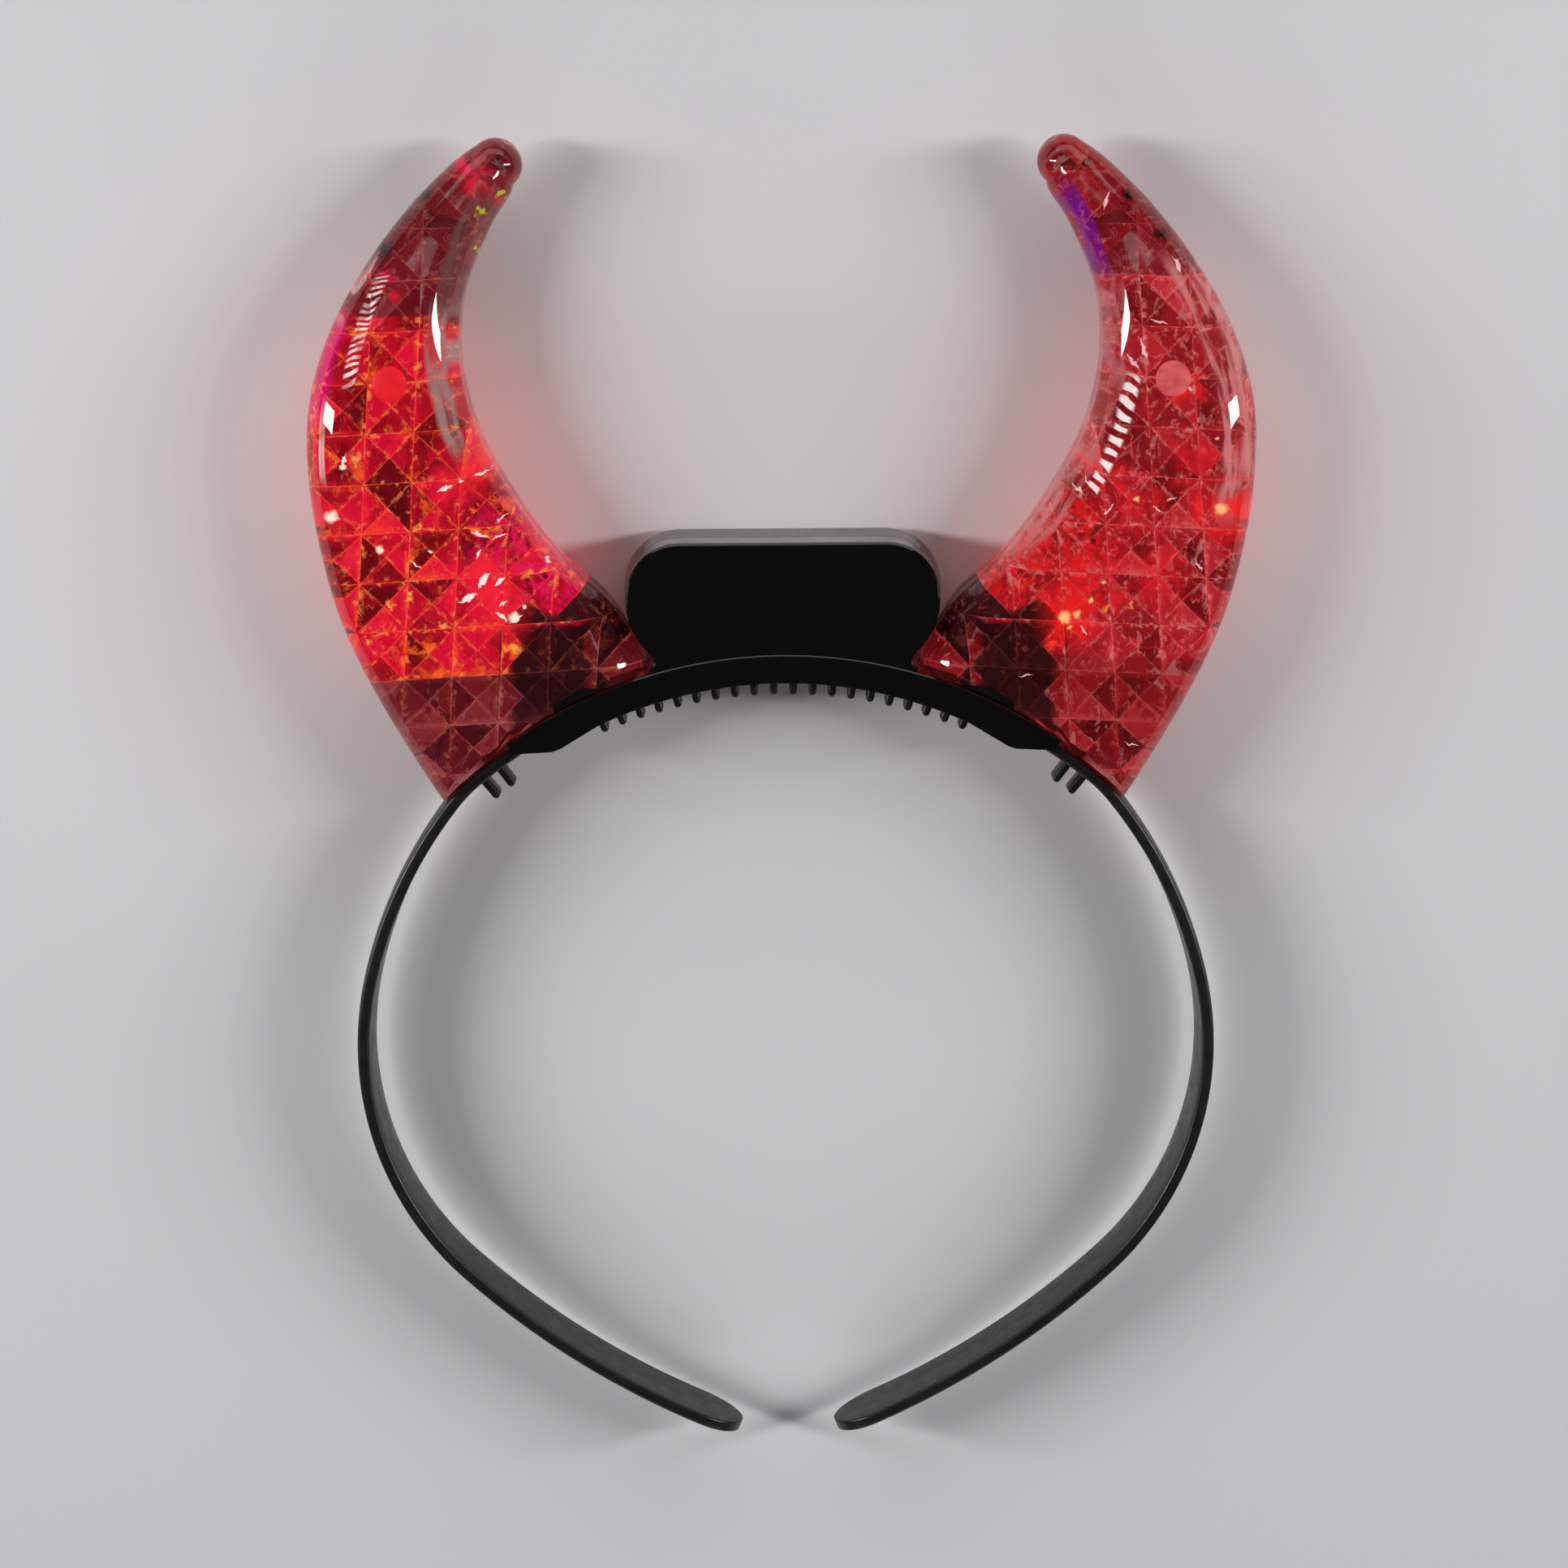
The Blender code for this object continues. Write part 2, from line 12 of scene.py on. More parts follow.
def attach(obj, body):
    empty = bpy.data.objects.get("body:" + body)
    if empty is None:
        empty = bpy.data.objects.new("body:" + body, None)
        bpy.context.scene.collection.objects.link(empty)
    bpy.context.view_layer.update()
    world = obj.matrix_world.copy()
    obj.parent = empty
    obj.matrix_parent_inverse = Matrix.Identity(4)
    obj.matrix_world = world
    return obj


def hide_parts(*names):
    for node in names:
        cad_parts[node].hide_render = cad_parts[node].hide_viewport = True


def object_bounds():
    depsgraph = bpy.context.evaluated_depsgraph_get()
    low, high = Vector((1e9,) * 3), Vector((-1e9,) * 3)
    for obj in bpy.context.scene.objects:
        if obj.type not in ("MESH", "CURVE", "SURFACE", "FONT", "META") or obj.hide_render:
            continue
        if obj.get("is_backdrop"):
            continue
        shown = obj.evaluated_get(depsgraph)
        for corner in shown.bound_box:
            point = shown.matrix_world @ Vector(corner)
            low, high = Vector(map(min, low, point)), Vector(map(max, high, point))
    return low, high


MM = 0.001
BODY = "root"
SIDES = {"left": -1, "right": 1}

# The drawing frame of the horns: mm, mirrored for the left horn, with the band's crown near y 21
DRAWING_Y = 3.048             # from the row frame to the drawing, along Y
DRAWING_Z = 10.5              # height of the parting plane

# Horn rungs from base to tip: outer x, outer y, inner x, inner y, half depth (mm)
HORN_RUNGS = (
    (53.3, -4.6, 23.2, 12.0, 10.5),
    (60.1, 6.2, 22.6, 21.2, 10.5),
    (66.8, 18.2, 25.1, 26.2, 10.5),
    (71.4, 29.0, 28.6, 31.6, 10.5),
    (74.3, 40.7, 36.2, 38.4, 10.5),
    (75.6, 51.2, 43.0, 47.6, 10.5),
    (75.4, 61.6, 48.6, 58.3, 10.2),
    (72.6, 72.0, 51.1, 69.5, 9.4),
    (67.4, 82.2, 50.3, 80.0, 8.2),
    (59.8, 92.5, 46.3, 89.8, 6.8),
    (52.2, 100.1, 43.0, 95.0, 5.6),
    (47.7, 103.3, 42.3, 96.9, 4.7),
)
HORN_SHOULDER = 6.5
RUNG_STEPS = 10               # rows from one rung to the next
BASE_RUNG = 3                 # the rungs below this one bend to follow the base
TIP_STEPS = 12
PROFILE_STEPS = 16            # across each half of a section
SEAM_GROOVE = 0.12            # depth of the parting line
WALL = 1.7                    # of the clear shell, and what is left of it at the base and the tip
BASE_WALL = 0.5
TIP_WALL = 1.0
TIP_RUNG = 8.0                # the wall thins from this rung on

# What a horn stands on: the rail's top and, beyond the foot, the band's outer face (mm, degrees)
RAIL_CENTRE_Y = -54.4
RAIL_RADIUS = 77.1
RAIL_END_X = 45.6
SEAT_GAP = 0.3
SEAT_SLOPE = 1.15             # a clearance counted upright, where the seat slopes

# Headband: outer face at the middle, then arcs of (radius, sweep in degrees) down each side (mm)
BAND_TOP = 21.2
BAND_ARCS = ((79.5, 39.5), (25.7, 11.6), (75.9, 26.0), (53.1, 60.0), (141.9, 21.6))
SEAT_ARCS = 3                 # the arcs that the horns stand on
BAND_STEP = 1.0               # degrees between sections
BAND_THICKNESS = 2.3
BAND_WIDTH = 13.5             # at the middle
BAND_TIP_WIDTH = 12.4
BAND_CROWN = 0.4
BAND_EDGE = 0.45              # rounding of the band's long edges
BAND_EDGE_STEPS = 4
BAND_TIP_LENGTH = 7.2
BAND_TIP_STEPS = 18
TOOTH_PITCH = 3.37
TOOTH_WIDTH = 1.25
TOOTH_DEPTH = 5.0
TOOTH_LENGTH = 3.8
TOOTH_ROOT = 0.5
TOOTH_ARC = 12                # facets around a tooth's round end
TOOTH_SECTIONS = ((-1.0, 0.55), (-0.96, 0.85), (-0.88, 1.0),    # share of the depth, of the width
                  (0.88, 1.0), (0.96, 0.85), (1.0, 0.55))
TEETH_IN_CHANNEL = 10
TEETH_PAST_FOOT = (51.1, 54.5)

# Pyramids inside the horn: a leaning grid of square cells (mm)
CELL_ORIGIN = (52.9, 19.4)
CELL_ACROSS = (7.7, -0.4)
CELL_UP = (-0.5, 7.9)
CELL_AREA = CELL_ACROSS[0] * CELL_UP[1] - CELL_ACROSS[1] * CELL_UP[0]
CELLS_ACROSS = range(-5, 5)
CELLS_UP = range(-4, 12)
CELL_RISE = 1.7
TIP_RISE = 0.6                # share of the rise that is left at the tip
RISE_FADE = (72.0, 96.0)      # heights in the drawing between which it falls

# Boss that joins a horn's halves (mm)
BOSS_CENTRE = (61.9, 66.0)
BOSS_RADIUS = 2.75
BOSS_HALF_DEPTH = 8.75
BOSS_SIDES = 48
BOSS_EDGE = 0.25

# The sides of a horn as parabolas: x and y of the top, curvature (mm)
INNER_BOW = (51.2, 72.0, 0.0125)
OUTER_BOW = (75.9, 54.5, 0.0105)

# The light in a horn, in the drawing (mm): how far behind a facet it is taken from, nearer and
# deeper, and how far apart it is taken for different facets
NEAR_SHIFT = 4.0
DEEP_SHIFT = 9.0
FACET_SHIFT = (23.0, 17.0, 0.0)
FACET_SPREAD = (14.0, 14.0, 14.0)
LIT_FROM_X = (29.0, 31.5)     # where the lit part begins
PINK_CENTRE = (41.0, 37.0, 0.0)
DEEP_HEIGHTS = (70.0, 88.0)   # of the deeper dusk
TIP_FADE = (80.0, 90.0)       # heights over which the look changes towards the tip
# The holder's dark on the facets is its own dark seen through them and painted shade where it keeps
# the lamp's light off them.
HOLDER_X = (30.0, 43.6)       # where the lamp's holder darkens the facets in front of it
HOLDER_Y = (9.0, 29.4)

# What a point's brightness is made of
LEVEL_BASE = -0.30
LEVEL_SHARES = {"facet": 0.48, "patches": 0.34, "shards": 0.26, "fine": 0.30, "grain": 0.16,
                "rim": 0.26}

# Red light that a horn throws around it: place in the drawing (mm), power (W)
GLOW_PLACE = (60.0, 50.0)
GLOW_POWER = 0.012

# Studio lights: name, place, aim, size (m), power (W)
SOFTBOXES = (
    ("softbox_left", (-0.75, 0.15, 0.55), (0.0, 0.0, 0.0), (0.09, 0.5), 5.0),
    ("softbox_right", (0.75, 0.15, 0.55), (0.0, 0.0, 0.0), (0.09, 0.5), 4.4),
    ("softbox_top", (0.0, 0.95, 0.5), (0.0, 0.05, 0.0), (1.4, 0.45), 2.8),
    ("softbox_low", (0.0, -1.0, 0.5), (0.0, 0.0, 0.0), (1.3, 0.18), 2.2),
)
WORLD_STRENGTH = 0.07
FLOOR_HALF = 3.0              # m

# Camera: distance and angles from the object's middle
CAMERA_DISTANCE = 0.6
CAMERA_TILT = 10.0            # degrees from straight above, towards the horn tips
CAMERA_YAW = 0.24
CAMERA_ROLL = 0.4
CAMERA_LENS = 84.37
CAMERA_SENSOR = 36.0


def rgb(red, green, blue):
    return (red, green, blue, 1.0)


GREEN = rgb(0.42, 0.42, 0.03)  # of the flecks near a tip

# How each horn is lit, in the drawing (mm), in painted light. "lit", "dusk" and "deep" are ramps of
# (brightness, colour), and "rows" are the rows of cells that are lit. Spots are (x, y, radius).
# Strokes, for painted glints, are (x, y, half length, half width, degrees). Bands run along a side:
# (distance from the inner side, or negative from the outer side, half width, low, high, least share
# between its streaks, colour)
LOOKS = {
    "left": {
        "lit": ((0.0, rgb(0.05, 0.0, 0.002)), (0.26, rgb(0.17, 0.001, 0.005)),
                (0.42, rgb(0.38, 0.002, 0.011)), (0.58, rgb(0.58, 0.003, 0.024)),
                (0.74, rgb(0.74, 0.006, 0.036)), (0.92, rgb(0.88, 0.06, 0.02))),
        "dusk": ((0.1, rgb(0.03, 0.002, 0.004)), (0.5, rgb(0.14, 0.008, 0.012)),
                 (0.85, rgb(0.27, 0.045, 0.052))),
        "deep": ((0.1, rgb(0.08, 0.002, 0.006)), (0.5, rgb(0.12, 0.004, 0.010)),
                 (0.9, rgb(0.20, 0.010, 0.018))),
        "rows": (0.0, 7.3),
        "base": rgb(0.04, 0.001, 0.002),
        "pink": rgb(0.70, 0.004, 0.085),
        "pink_reach": 12.0,
        "orange": rgb(0.90, 0.12, 0.012),
        "warm": 0.565,
        "gold": rgb(0.95, 0.42, 0.08),
        "gold_from": 0.675,
        "glint": rgb(0.36, 0.17, 0.18),
        "pale": 0.0,
        "streak": 0.55,
        "pale_from": 0.62,
        "holder": rgb(0.004, 0.0005, 0.002),
        "holder_gleam": rgb(0.07, 0.008, 0.015),
        "line": rgb(0.95, 0.16, 0.03),
        "line_dusk": rgb(0.40, 0.12, 0.13),
        "line_strength": 0.70,
        "stroke_strength": 0.35,
        "edge_glint": rgb(1.0, 0.34, 0.08),
        "glow": rgb(0.90, 0.02, 0.03),
        "ember": rgb(0.80, 0.004, 0.05),
        "embers": ((48.0, 34.0, 9.0), (69.0, 46.0, 5.0), (54.0, 48.0, 5.0), (60.2, 92.0, 2.6),
                   (64.4, 86.0, 3.0), (47.4, 96.5, 2.8), (52.4, 78.0, 3.4), (61.0, 80.5, 1.4)),
        "lamp_glints": ((71.2, 45.1, 1.2), (64.1, 39.8, 0.8), (69.7, 53.0, 0.6), (42.9, 28.9, 1.0)),
        "lamp_glint_core": rgb(1.0, 0.90, 0.72),
        "hot": ((46.8, 34.4, 7.0), (44.0, 29.0, 5.5), (52.0, 50.2, 4.0), (71.2, 45.1, 5.0),
                (64.1, 39.8, 3.5)),
        "glint_core": rgb(1.0, 0.86, 0.84),
        "glint_strokes": ((47.6, 34.9, 1.7, 0.80, -55), (50.1, 32.0, 1.9, 0.70, -25),
                    (48.0, 42.2, 1.7, 0.36, 18), (48.4, 39.0, 1.0, 0.30, -52),
                    (45.1, 34.6, 1.3, 0.38, -40), (44.8, 29.0, 1.3, 0.52, 42),
                    (42.6, 28.6, 1.4, 0.50, -32), (44.6, 31.0, 0.8, 0.20, -40),
                    (41.3, 30.6, 0.5, 0.40, -70), (38.2, 37.2, 0.8, 0.24, 35),
                    (37.0, 39.2, 0.4, 0.30, 0), (55.9, 39.4, 0.5, 0.32, 20),
                    (53.4, 49.5, 1.5, 0.42, -25), (48.3, 51.5, 1.2, 0.34, -20),
                    (51.0, 50.8, 0.6, 0.36, 0), (69.3, 54.1, 1.1, 0.40, -70),
                    (41.6, 46.2, 1.4, 0.18, 50), (44.9, 44.5, 1.2, 0.18, -30),
                    (45.0, 41.8, 1.5, 0.18, -15), (58.3, 37.5, 1.2, 0.20, 40)),
        "amber": ((67.3, 54.3, 1.3), (59.5, 32.2, 0.9), (54.4, 27.6, 1.0), (62.8, 31.0, 0.9),
                  (58.0, 43.5, 0.8), (66.0, 25.0, 0.8)),
        "green": ((47.9, 92.9, 0.7), (49.0, 87.0, 0.55), (45.0, 96.0, 0.45)),
        "dark": ((55.6, 95.0, 1.1), (62.0, 86.5, 1.6)),
        "bands": ((3.9, 1.7, 55.0, 78.0, 0.15, rgb(0.30, 0.20, 0.20)),
                  (2.6, 2.2, 78.0, 96.0, 0.40, rgb(0.11, 0.055, 0.05)),
                  (-1.6, 2.6, 60.0, 76.0, 0.50, rgb(0.66, 0.002, 0.14)),
                  (-3.4, 0.5, 51.0, 62.0, 0.05, rgb(0.80, 0.62, 0.58)),
                  (-2.6, 0.6, 76.0, 86.0, 0.05, rgb(0.74, 0.55, 0.52))),
        "ladder_highlight": {"outer": True, "centre": 10.9, "drift": -0.07, "half_width": 1.15,
                   "pitch": 1.15, "lean": -0.05, "heights": (65.5, 82.5),
                   "least": 0.35, "tone": rgb(0.92, 0.78, 0.76)},
        "boss": (rgb(0.74, 0.008, 0.012), rgb(0.60, 0.006, 0.014)),
    },
    "right": {
        "lit": ((0.05, rgb(0.06, 0.001, 0.002)), (0.3, rgb(0.18, 0.004, 0.007)),
                (0.55, rgb(0.32, 0.008, 0.013)), (0.75, rgb(0.45, 0.018, 0.024)),
                (0.95, rgb(0.64, 0.09, 0.095))),
        "dusk": ((0.1, rgb(0.05, 0.001, 0.002)), (0.5, rgb(0.22, 0.005, 0.008)),
                 (0.88, rgb(0.42, 0.033, 0.038))),
        "deep": ((0.1, rgb(0.10, 0.002, 0.004)), (0.5, rgb(0.16, 0.004, 0.009)),
                 (0.9, rgb(0.27, 0.016, 0.022))),
        "rows": (0.3, 8.0),
        "base": rgb(0.04, 0.002, 0.003),
        "pink": rgb(0.62, 0.008, 0.010),
        "pink_reach": 15.0,
        "orange": rgb(0.85, 0.02, 0.012),
        "warm": 0.62,
        "gold": rgb(0.98, 0.25, 0.05),
        "gold_from": 0.72,
        "glint": rgb(0.62, 0.26, 0.25),
        "pale": 0.30,
        "streak": 0.9,
        "pale_from": 0.60,
        "holder": rgb(0.003, 0.0003, 0.0005),
        "holder_gleam": rgb(0.04, 0.002, 0.003),
        "line": rgb(0.74, 0.15, 0.14),
        "line_dusk": rgb(0.46, 0.08, 0.08),
        "line_strength": 0.55,
        "stroke_strength": 0.55,
        "edge_glint": rgb(0.74, 0.26, 0.24),
        "glow": rgb(0.92, 0.012, 0.010),
        "ember": rgb(0.70, 0.010, 0.016),
        "embers": ((48.0, 33.5, 10.0), (60.0, 35.0, 7.0), (56.0, 46.0, 7.0), (65.0, 53.0, 6.0),
                   (70.0, 45.0, 7.0), (64.0, 64.0, 4.0)),
        "lamp_glints": ((69.6, 45.3, 1.3), (44.9, 28.3, 1.3), (46.9, 28.8, 0.9), (45.8, 26.6, 0.5),
                  (49.2, 30.8, 0.5), (51.0, 33.8, 0.5), (68.8, 56.5, 0.5), (56.3, 47.0, 0.7)),
        "lamp_glint_core": rgb(1.0, 0.55, 0.22),
        "hot": ((44.9, 28.3, 6.0), (69.6, 45.3, 5.0), (47.5, 29.5, 3.5), (56.3, 47.0, 3.5),
                (64.7, 64.3, 2.6), (52.8, 49.6, 2.6)),
        "glint_core": rgb(0.84, 0.50, 0.49),
        "glint_strokes": ((57.3, 70.6, 2.4, 0.50, -75), (56.0, 68.4, 1.8, 0.28, -60),
                    (49.0, 49.3, 1.8, 0.22, -60), (47.6, 48.3, 1.4, 0.22, -45),
                    (59.7, 45.4, 1.2, 0.18, -30), (48.1, 26.1, 1.2, 0.28, -60),
                    (51.6, 73.9, 1.4, 0.28, -70), (59.7, 74.9, 1.6, 0.24, -15),
                    (62.3, 83.5, 1.8, 0.28, -60), (56.3, 95.3, 1.4, 0.34, -30),
                    (51.4, 93.8, 1.5, 0.40, 70), (41.1, 101.3, 1.0, 0.40, 30),
                    (61.7, 47.0, 1.0, 0.18, 20), (66.2, 36.5, 1.4, 0.20, -60),
                    (51.8, 45.5, 1.4, 0.20, 50), (38.7, 18.9, 1.4, 0.18, 10),
                    (55.5, 7.6, 1.4, 0.18, -20), (64.7, 64.3, 0.6, 0.40, 0)),
        "amber": ((51.3, 29.7, 1.0), (55.8, 30.1, 0.8), (44.3, 27.3, 0.6)),
        "green": (),
        "dark": ((54.5, 94.1, 1.0), (59.7, 88.2, 1.3), (48.1, 99.4, 0.8)),
        "bands": ((2.0, 1.3, 83.0, 96.0, 0.70, rgb(0.12, 0.0, 0.22)),
                  (-4.0, 3.2, 44.0, 84.0, 0.05, rgb(0.56, 0.20, 0.20)),
                  (2.2, 1.7, 38.0, 62.0, 0.05, rgb(0.50, 0.14, 0.14)),
                  (3.2, 1.8, 64.0, 84.0, 0.05, rgb(0.40, 0.10, 0.11))),
        "ladder_highlight": {"outer": False, "centre": 5.0, "drift": 0.0, "half_width": 1.3,
                   "pitch": 1.9, "lean": 0.06, "heights": (47.5, 66.5),
                   "least": 0.9, "tone": rgb(0.95, 0.84, 0.82)},
        "boss": (rgb(0.44, 0.06, 0.065), rgb(0.56, 0.12, 0.115)),
    },
}


class Graph:
    """The shader nodes of one material, made by short calls that return output sockets."""

    def __init__(self, name):
        self.material = bpy.data.materials.new(name)
        self.material.use_nodes = True
        self.tree = self.material.node_tree
        self.shader = self.tree.nodes["Principled BSDF"]

    def put(self, socket, value):
        if isinstance(value, bpy.types.NodeSocket):
            self.tree.links.new(value, socket)
        elif value is not None:
            socket.default_value = value

    def node(self, kind, *values, out=0, **settings):
        item = self.tree.nodes.new("ShaderNode" + kind)
        for key, setting in settings.items():
            setattr(item, key, setting)
        for socket, value in zip(item.inputs, values):
            self.put(socket, value)
        return item.outputs[out]

    def math(self, operation, a, b=0.0, c=0.0):
        return self.node("Math", a, b, c, operation=operation)

    def vector(self, operation, a, b, c=None):
        out = 1 if operation in ('DOT_PRODUCT', 'DISTANCE') else 0
        return self.node("VectorMath", a, b, c, operation=operation, out=out)

    def step(self, value, low, high, start=0.0, end=1.0):
        """A smooth step of value from low to high, clamped."""
        return self.node("MapRange", value, low, high, start, end, interpolation_type='SMOOTHSTEP')

    def mix(self, factor, a, b):
        item = self.tree.nodes.new("ShaderNodeMix")
        item.data_type = 'RGBA'
        self.put(item.inputs["Factor"], factor)
        self.put(item.inputs[6], a)
        self.put(item.inputs[7], b)
        return item.outputs[2]

    def ramp(self, value, *stops):
        """A colour ramp through stops of (place, colour)."""
        item = self.tree.nodes.new("ShaderNodeValToRGB")
        elements = item.color_ramp.elements
        elements.remove(elements[1])
        elements[0].position, elements[0].color = stops[0]
        for place, colour in stops[1:]:
            elements.new(place).color = colour
        self.put(item.inputs[0], value)
        return item.outputs[0]

    def split(self, vector):
        return self.node("SeparateXYZ", vector).node.outputs

    def noise(self, at, scale, detail=2.0, distortion=0.0, out=0):
        item = self.tree.nodes.new("ShaderNodeTexNoise")
        self.put(item.inputs["Vector"], at)
        self.put(item.inputs["Scale"], scale)
        self.put(item.inputs["Detail"], detail)
        self.put(item.inputs["Distortion"], distortion)
        return item.outputs[out]

    def shards(self, at, scale, feature='F1', out=1):
        """Voronoi cells: a random colour in each (out 1) or the distance to their edges (out 0)."""
        item = self.tree.nodes.new("ShaderNodeTexVoronoi")
        item.feature = feature
        self.put(item.inputs["Vector"], at)
        self.put(item.inputs["Scale"], scale)
        return item.outputs[out]

    def set(self, **values):
        """Values for the shader's own sockets, with _ for a space in a name."""
        for key, value in values.items():
            self.put(self.shader.inputs[key.replace("_", " ")], value)

    def bump(self, height, distance, strength=1.0):
        item = self.tree.nodes.new("ShaderNodeBump")
        self.put(item.inputs["Height"], height)
        self.put(item.inputs["Distance"], distance)
        self.put(item.inputs["Strength"], strength)
        self.put(self.shader.inputs["Normal"], item.outputs[0])

    def position(self):
        """The object's own coordinates."""
        return self.node("TexCoord", out=3)


def new_object(name, bm, material, smooth_angle=30.0):
    """An object that rides on the root body, from a bmesh of closed bodies in metres."""
    mesh = bpy.data.meshes.new(name)
    bm.to_mesh(mesh)
    bm.free()
    mesh.shade_smooth()
    mesh.set_sharp_from_angle(angle=math.radians(smooth_angle))
    mesh.materials.append(material)
    obj = bpy.data.objects.new(name, mesh)
    bpy.context.scene.collection.objects.link(obj)
    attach(obj, BODY)
    return obj


def band_stations(arcs=BAND_ARCS):
    """(distance, x, y, heading) along the band's outer face, from the crown down the right side."""
    x, y, heading, distance = 0.0, BAND_TOP, 0.0, 0.0
    stations = [(distance, x, y, heading)]
    for radius, sweep in arcs:
        centre = (x - radius * math.sin(heading), y - radius * math.cos(heading))
        count = math.ceil(sweep / BAND_STEP)
        for i in range(1, count + 1):
            part = math.radians(sweep) * i / count
            turn = heading + part
            stations.append((distance + radius * part, centre[0] + radius * math.sin(turn),
                             centre[1] + radius * math.cos(turn), turn))
        distance, x, y, heading = stations[-1]
    return stations


SEAT_BAND = np.array(band_stations(BAND_ARCS[:SEAT_ARCS]))


def seat_height(x, lift):
    """Height of what a horn stands on at x, with a clearance above it."""
    height = np.interp(x, SEAT_BAND[:, 1], SEAT_BAND[:, 2]) + lift * SEAT_SLOPE
    if x < RAIL_END_X:
        height = max(height, RAIL_CENTRE_Y + math.sqrt((RAIL_RADIUS + lift) ** 2 - x * x))
    return height


def rung_at(t):
    """The rung at t, counted in rungs from the base, on a smooth curve through the table."""
    rows = np.array(HORN_RUNGS)
    last = len(rows) - 1
    i = min(int(t), last - 1)
    f = t - i
    p, q, r, s = rows[max(i - 1, 0)], rows[i], rows[i + 1], rows[min(i + 2, last)]
    rung = 0.5 * (2 * q + (r - p) * f + (2 * p - 5 * q + 4 * r - s) * f ** 2
                  + (3 * q - p - 3 * r + s) * f ** 3)
    rung[4] = min(rung[4], rows[0][4])
    return rung


def section_profile(width, depth, round_off, groove):
    """One half of a cross-section as (offset across, depth), from the inner to the outer seam."""
    round_off = min(round_off, 0.98 * width, 0.96 * depth)
    arc = [math.radians(90 * i / PROFILE_STEPS) for i in range(PROFILE_STEPS + 1)]
    half = [(-width + round_off * (1 - math.cos(a)), depth - round_off * (1 - math.sin(a)))
            for a in arc]
    wall = depth - round_off
    sides = [(-width + groove, 0.0), (-width, min(groove, 0.2 * wall) + 0.01 * wall)]
    sides += [(-width, wall * f) for f in (0.4, 0.7)]
    flat = [(-width + round_off + (width - round_off) * f, depth) for f in (0.25, 0.5, 0.75, 1.0)]
    half = sides + half + flat
    return half + [(-a, z) for a, z in reversed(half[:-1])]


def wall_at(t, wall):
    """The wall at rung t: it thins towards the tip."""
    share = max(0.0, (t - TIP_RUNG) / (len(HORN_RUNGS) - 1 - TIP_RUNG))
    return wall * (1 + (TIP_WALL / WALL - 1) * share)


def edge_points(wall):
    """Rows of inner edge, outer edge, half depth and wall, the outline moved in by the wall."""
    rows = []
    for k in range((len(HORN_RUNGS) - 1) * RUNG_STEPS + 1):
        t = k / RUNG_STEPS
        ox, oy, ix, iy, depth = rung_at(t)
        outer, inner = Vector((ox, oy)), Vector((ix, iy))
        across = (outer - inner).normalized()
        here = wall_at(t, wall)
        rows.append((inner + across * here, outer - across * here, depth - here, here))
    return rows


def horn_rows(wall, groove=0.0, lift=SEAT_GAP):
    """Rows of a horn's surface in the drawing frame, each half a ring of (x, y, z)."""
    edges = edge_points(wall)
    inner_edge, outer_edge = [e[0] for e in edges], [e[1] for e in edges]
    start_in, base_in = seat_crossing(inner_edge, lift)
    start_out, base_out = seat_crossing(outer_edge, lift)
    top = BASE_RUNG * RUNG_STEPS
    rows = []
    for k in range(top):
        v = k / top
        inner = edge_at(inner_edge, start_in + (top - start_in) * v)
        outer = edge_at(outer_edge, start_out + (top - start_out) * v)
        rows.append(((1 - v) ** 1.5, inner, outer, edges[top][2], edges[top][3]))
    rows += [(0.0, *edge) for edge in edges[top:]]
    rings = []
    for bend, inner, outer, depth, here in rows:
        width = (outer - inner).length / 2
        ring = []
        for a, z in section_profile(width, depth, HORN_SHOULDER - here, groove):
            u = (a / width + 1) / 2
            point = inner.lerp(outer, u)
            if bend > 0:
                chord = base_in.lerp(base_out, u)
                point += bend * (Vector((chord.x, seat_height(chord.x, lift))) - chord)
            ring.append((point.x, point.y, z))
        rings.append(ring)
    inner, outer, depth, here = edges[-1]
    across = (outer - inner).normalized()
    tipward = Vector((-across.y, across.x))
    centre, width = (inner + outer) / 2, (outer - inner).length / 2
    for i in range(1, TIP_STEPS):
        a = math.radians(90 * i / TIP_STEPS)
        cap = centre + tipward * width * math.sin(a)
        profile = section_profile(width * math.cos(a), depth * math.cos(a), HORN_SHOULDER, groove)
        rings.append([(cap.x + across.x * u, cap.y + across.y * u, z) for u, z in profile])
    return rings


def edge_at(edge, index):
    """The point of an edge at a fractional index."""
    i = min(int(index), len(edge) - 2)
    return edge[i].lerp(edge[i + 1], index - i)


def seat_crossing(edge, lift):
    """Where an edge leaves the seat: its fractional index and point."""
    for i in range(len(edge) - 1):
        low = edge[i].y - seat_height(edge[i].x, lift)
        high = edge[i + 1].y - seat_height(edge[i + 1].x, lift)
        if low <= 0 < high:
            index = i - low / (high - low)
            return index, edge_at(edge, index)
    return 0.0, edge[0]


def bridge(bm, rows):
    """Faces between one closed ring of vertices and the next."""
    for low, high in zip(rows, rows[1:]):
        for i in range(len(low)):
            j = (i + 1) % len(low)
            bm.faces.new((low[i], low[j], high[j], high[i]))


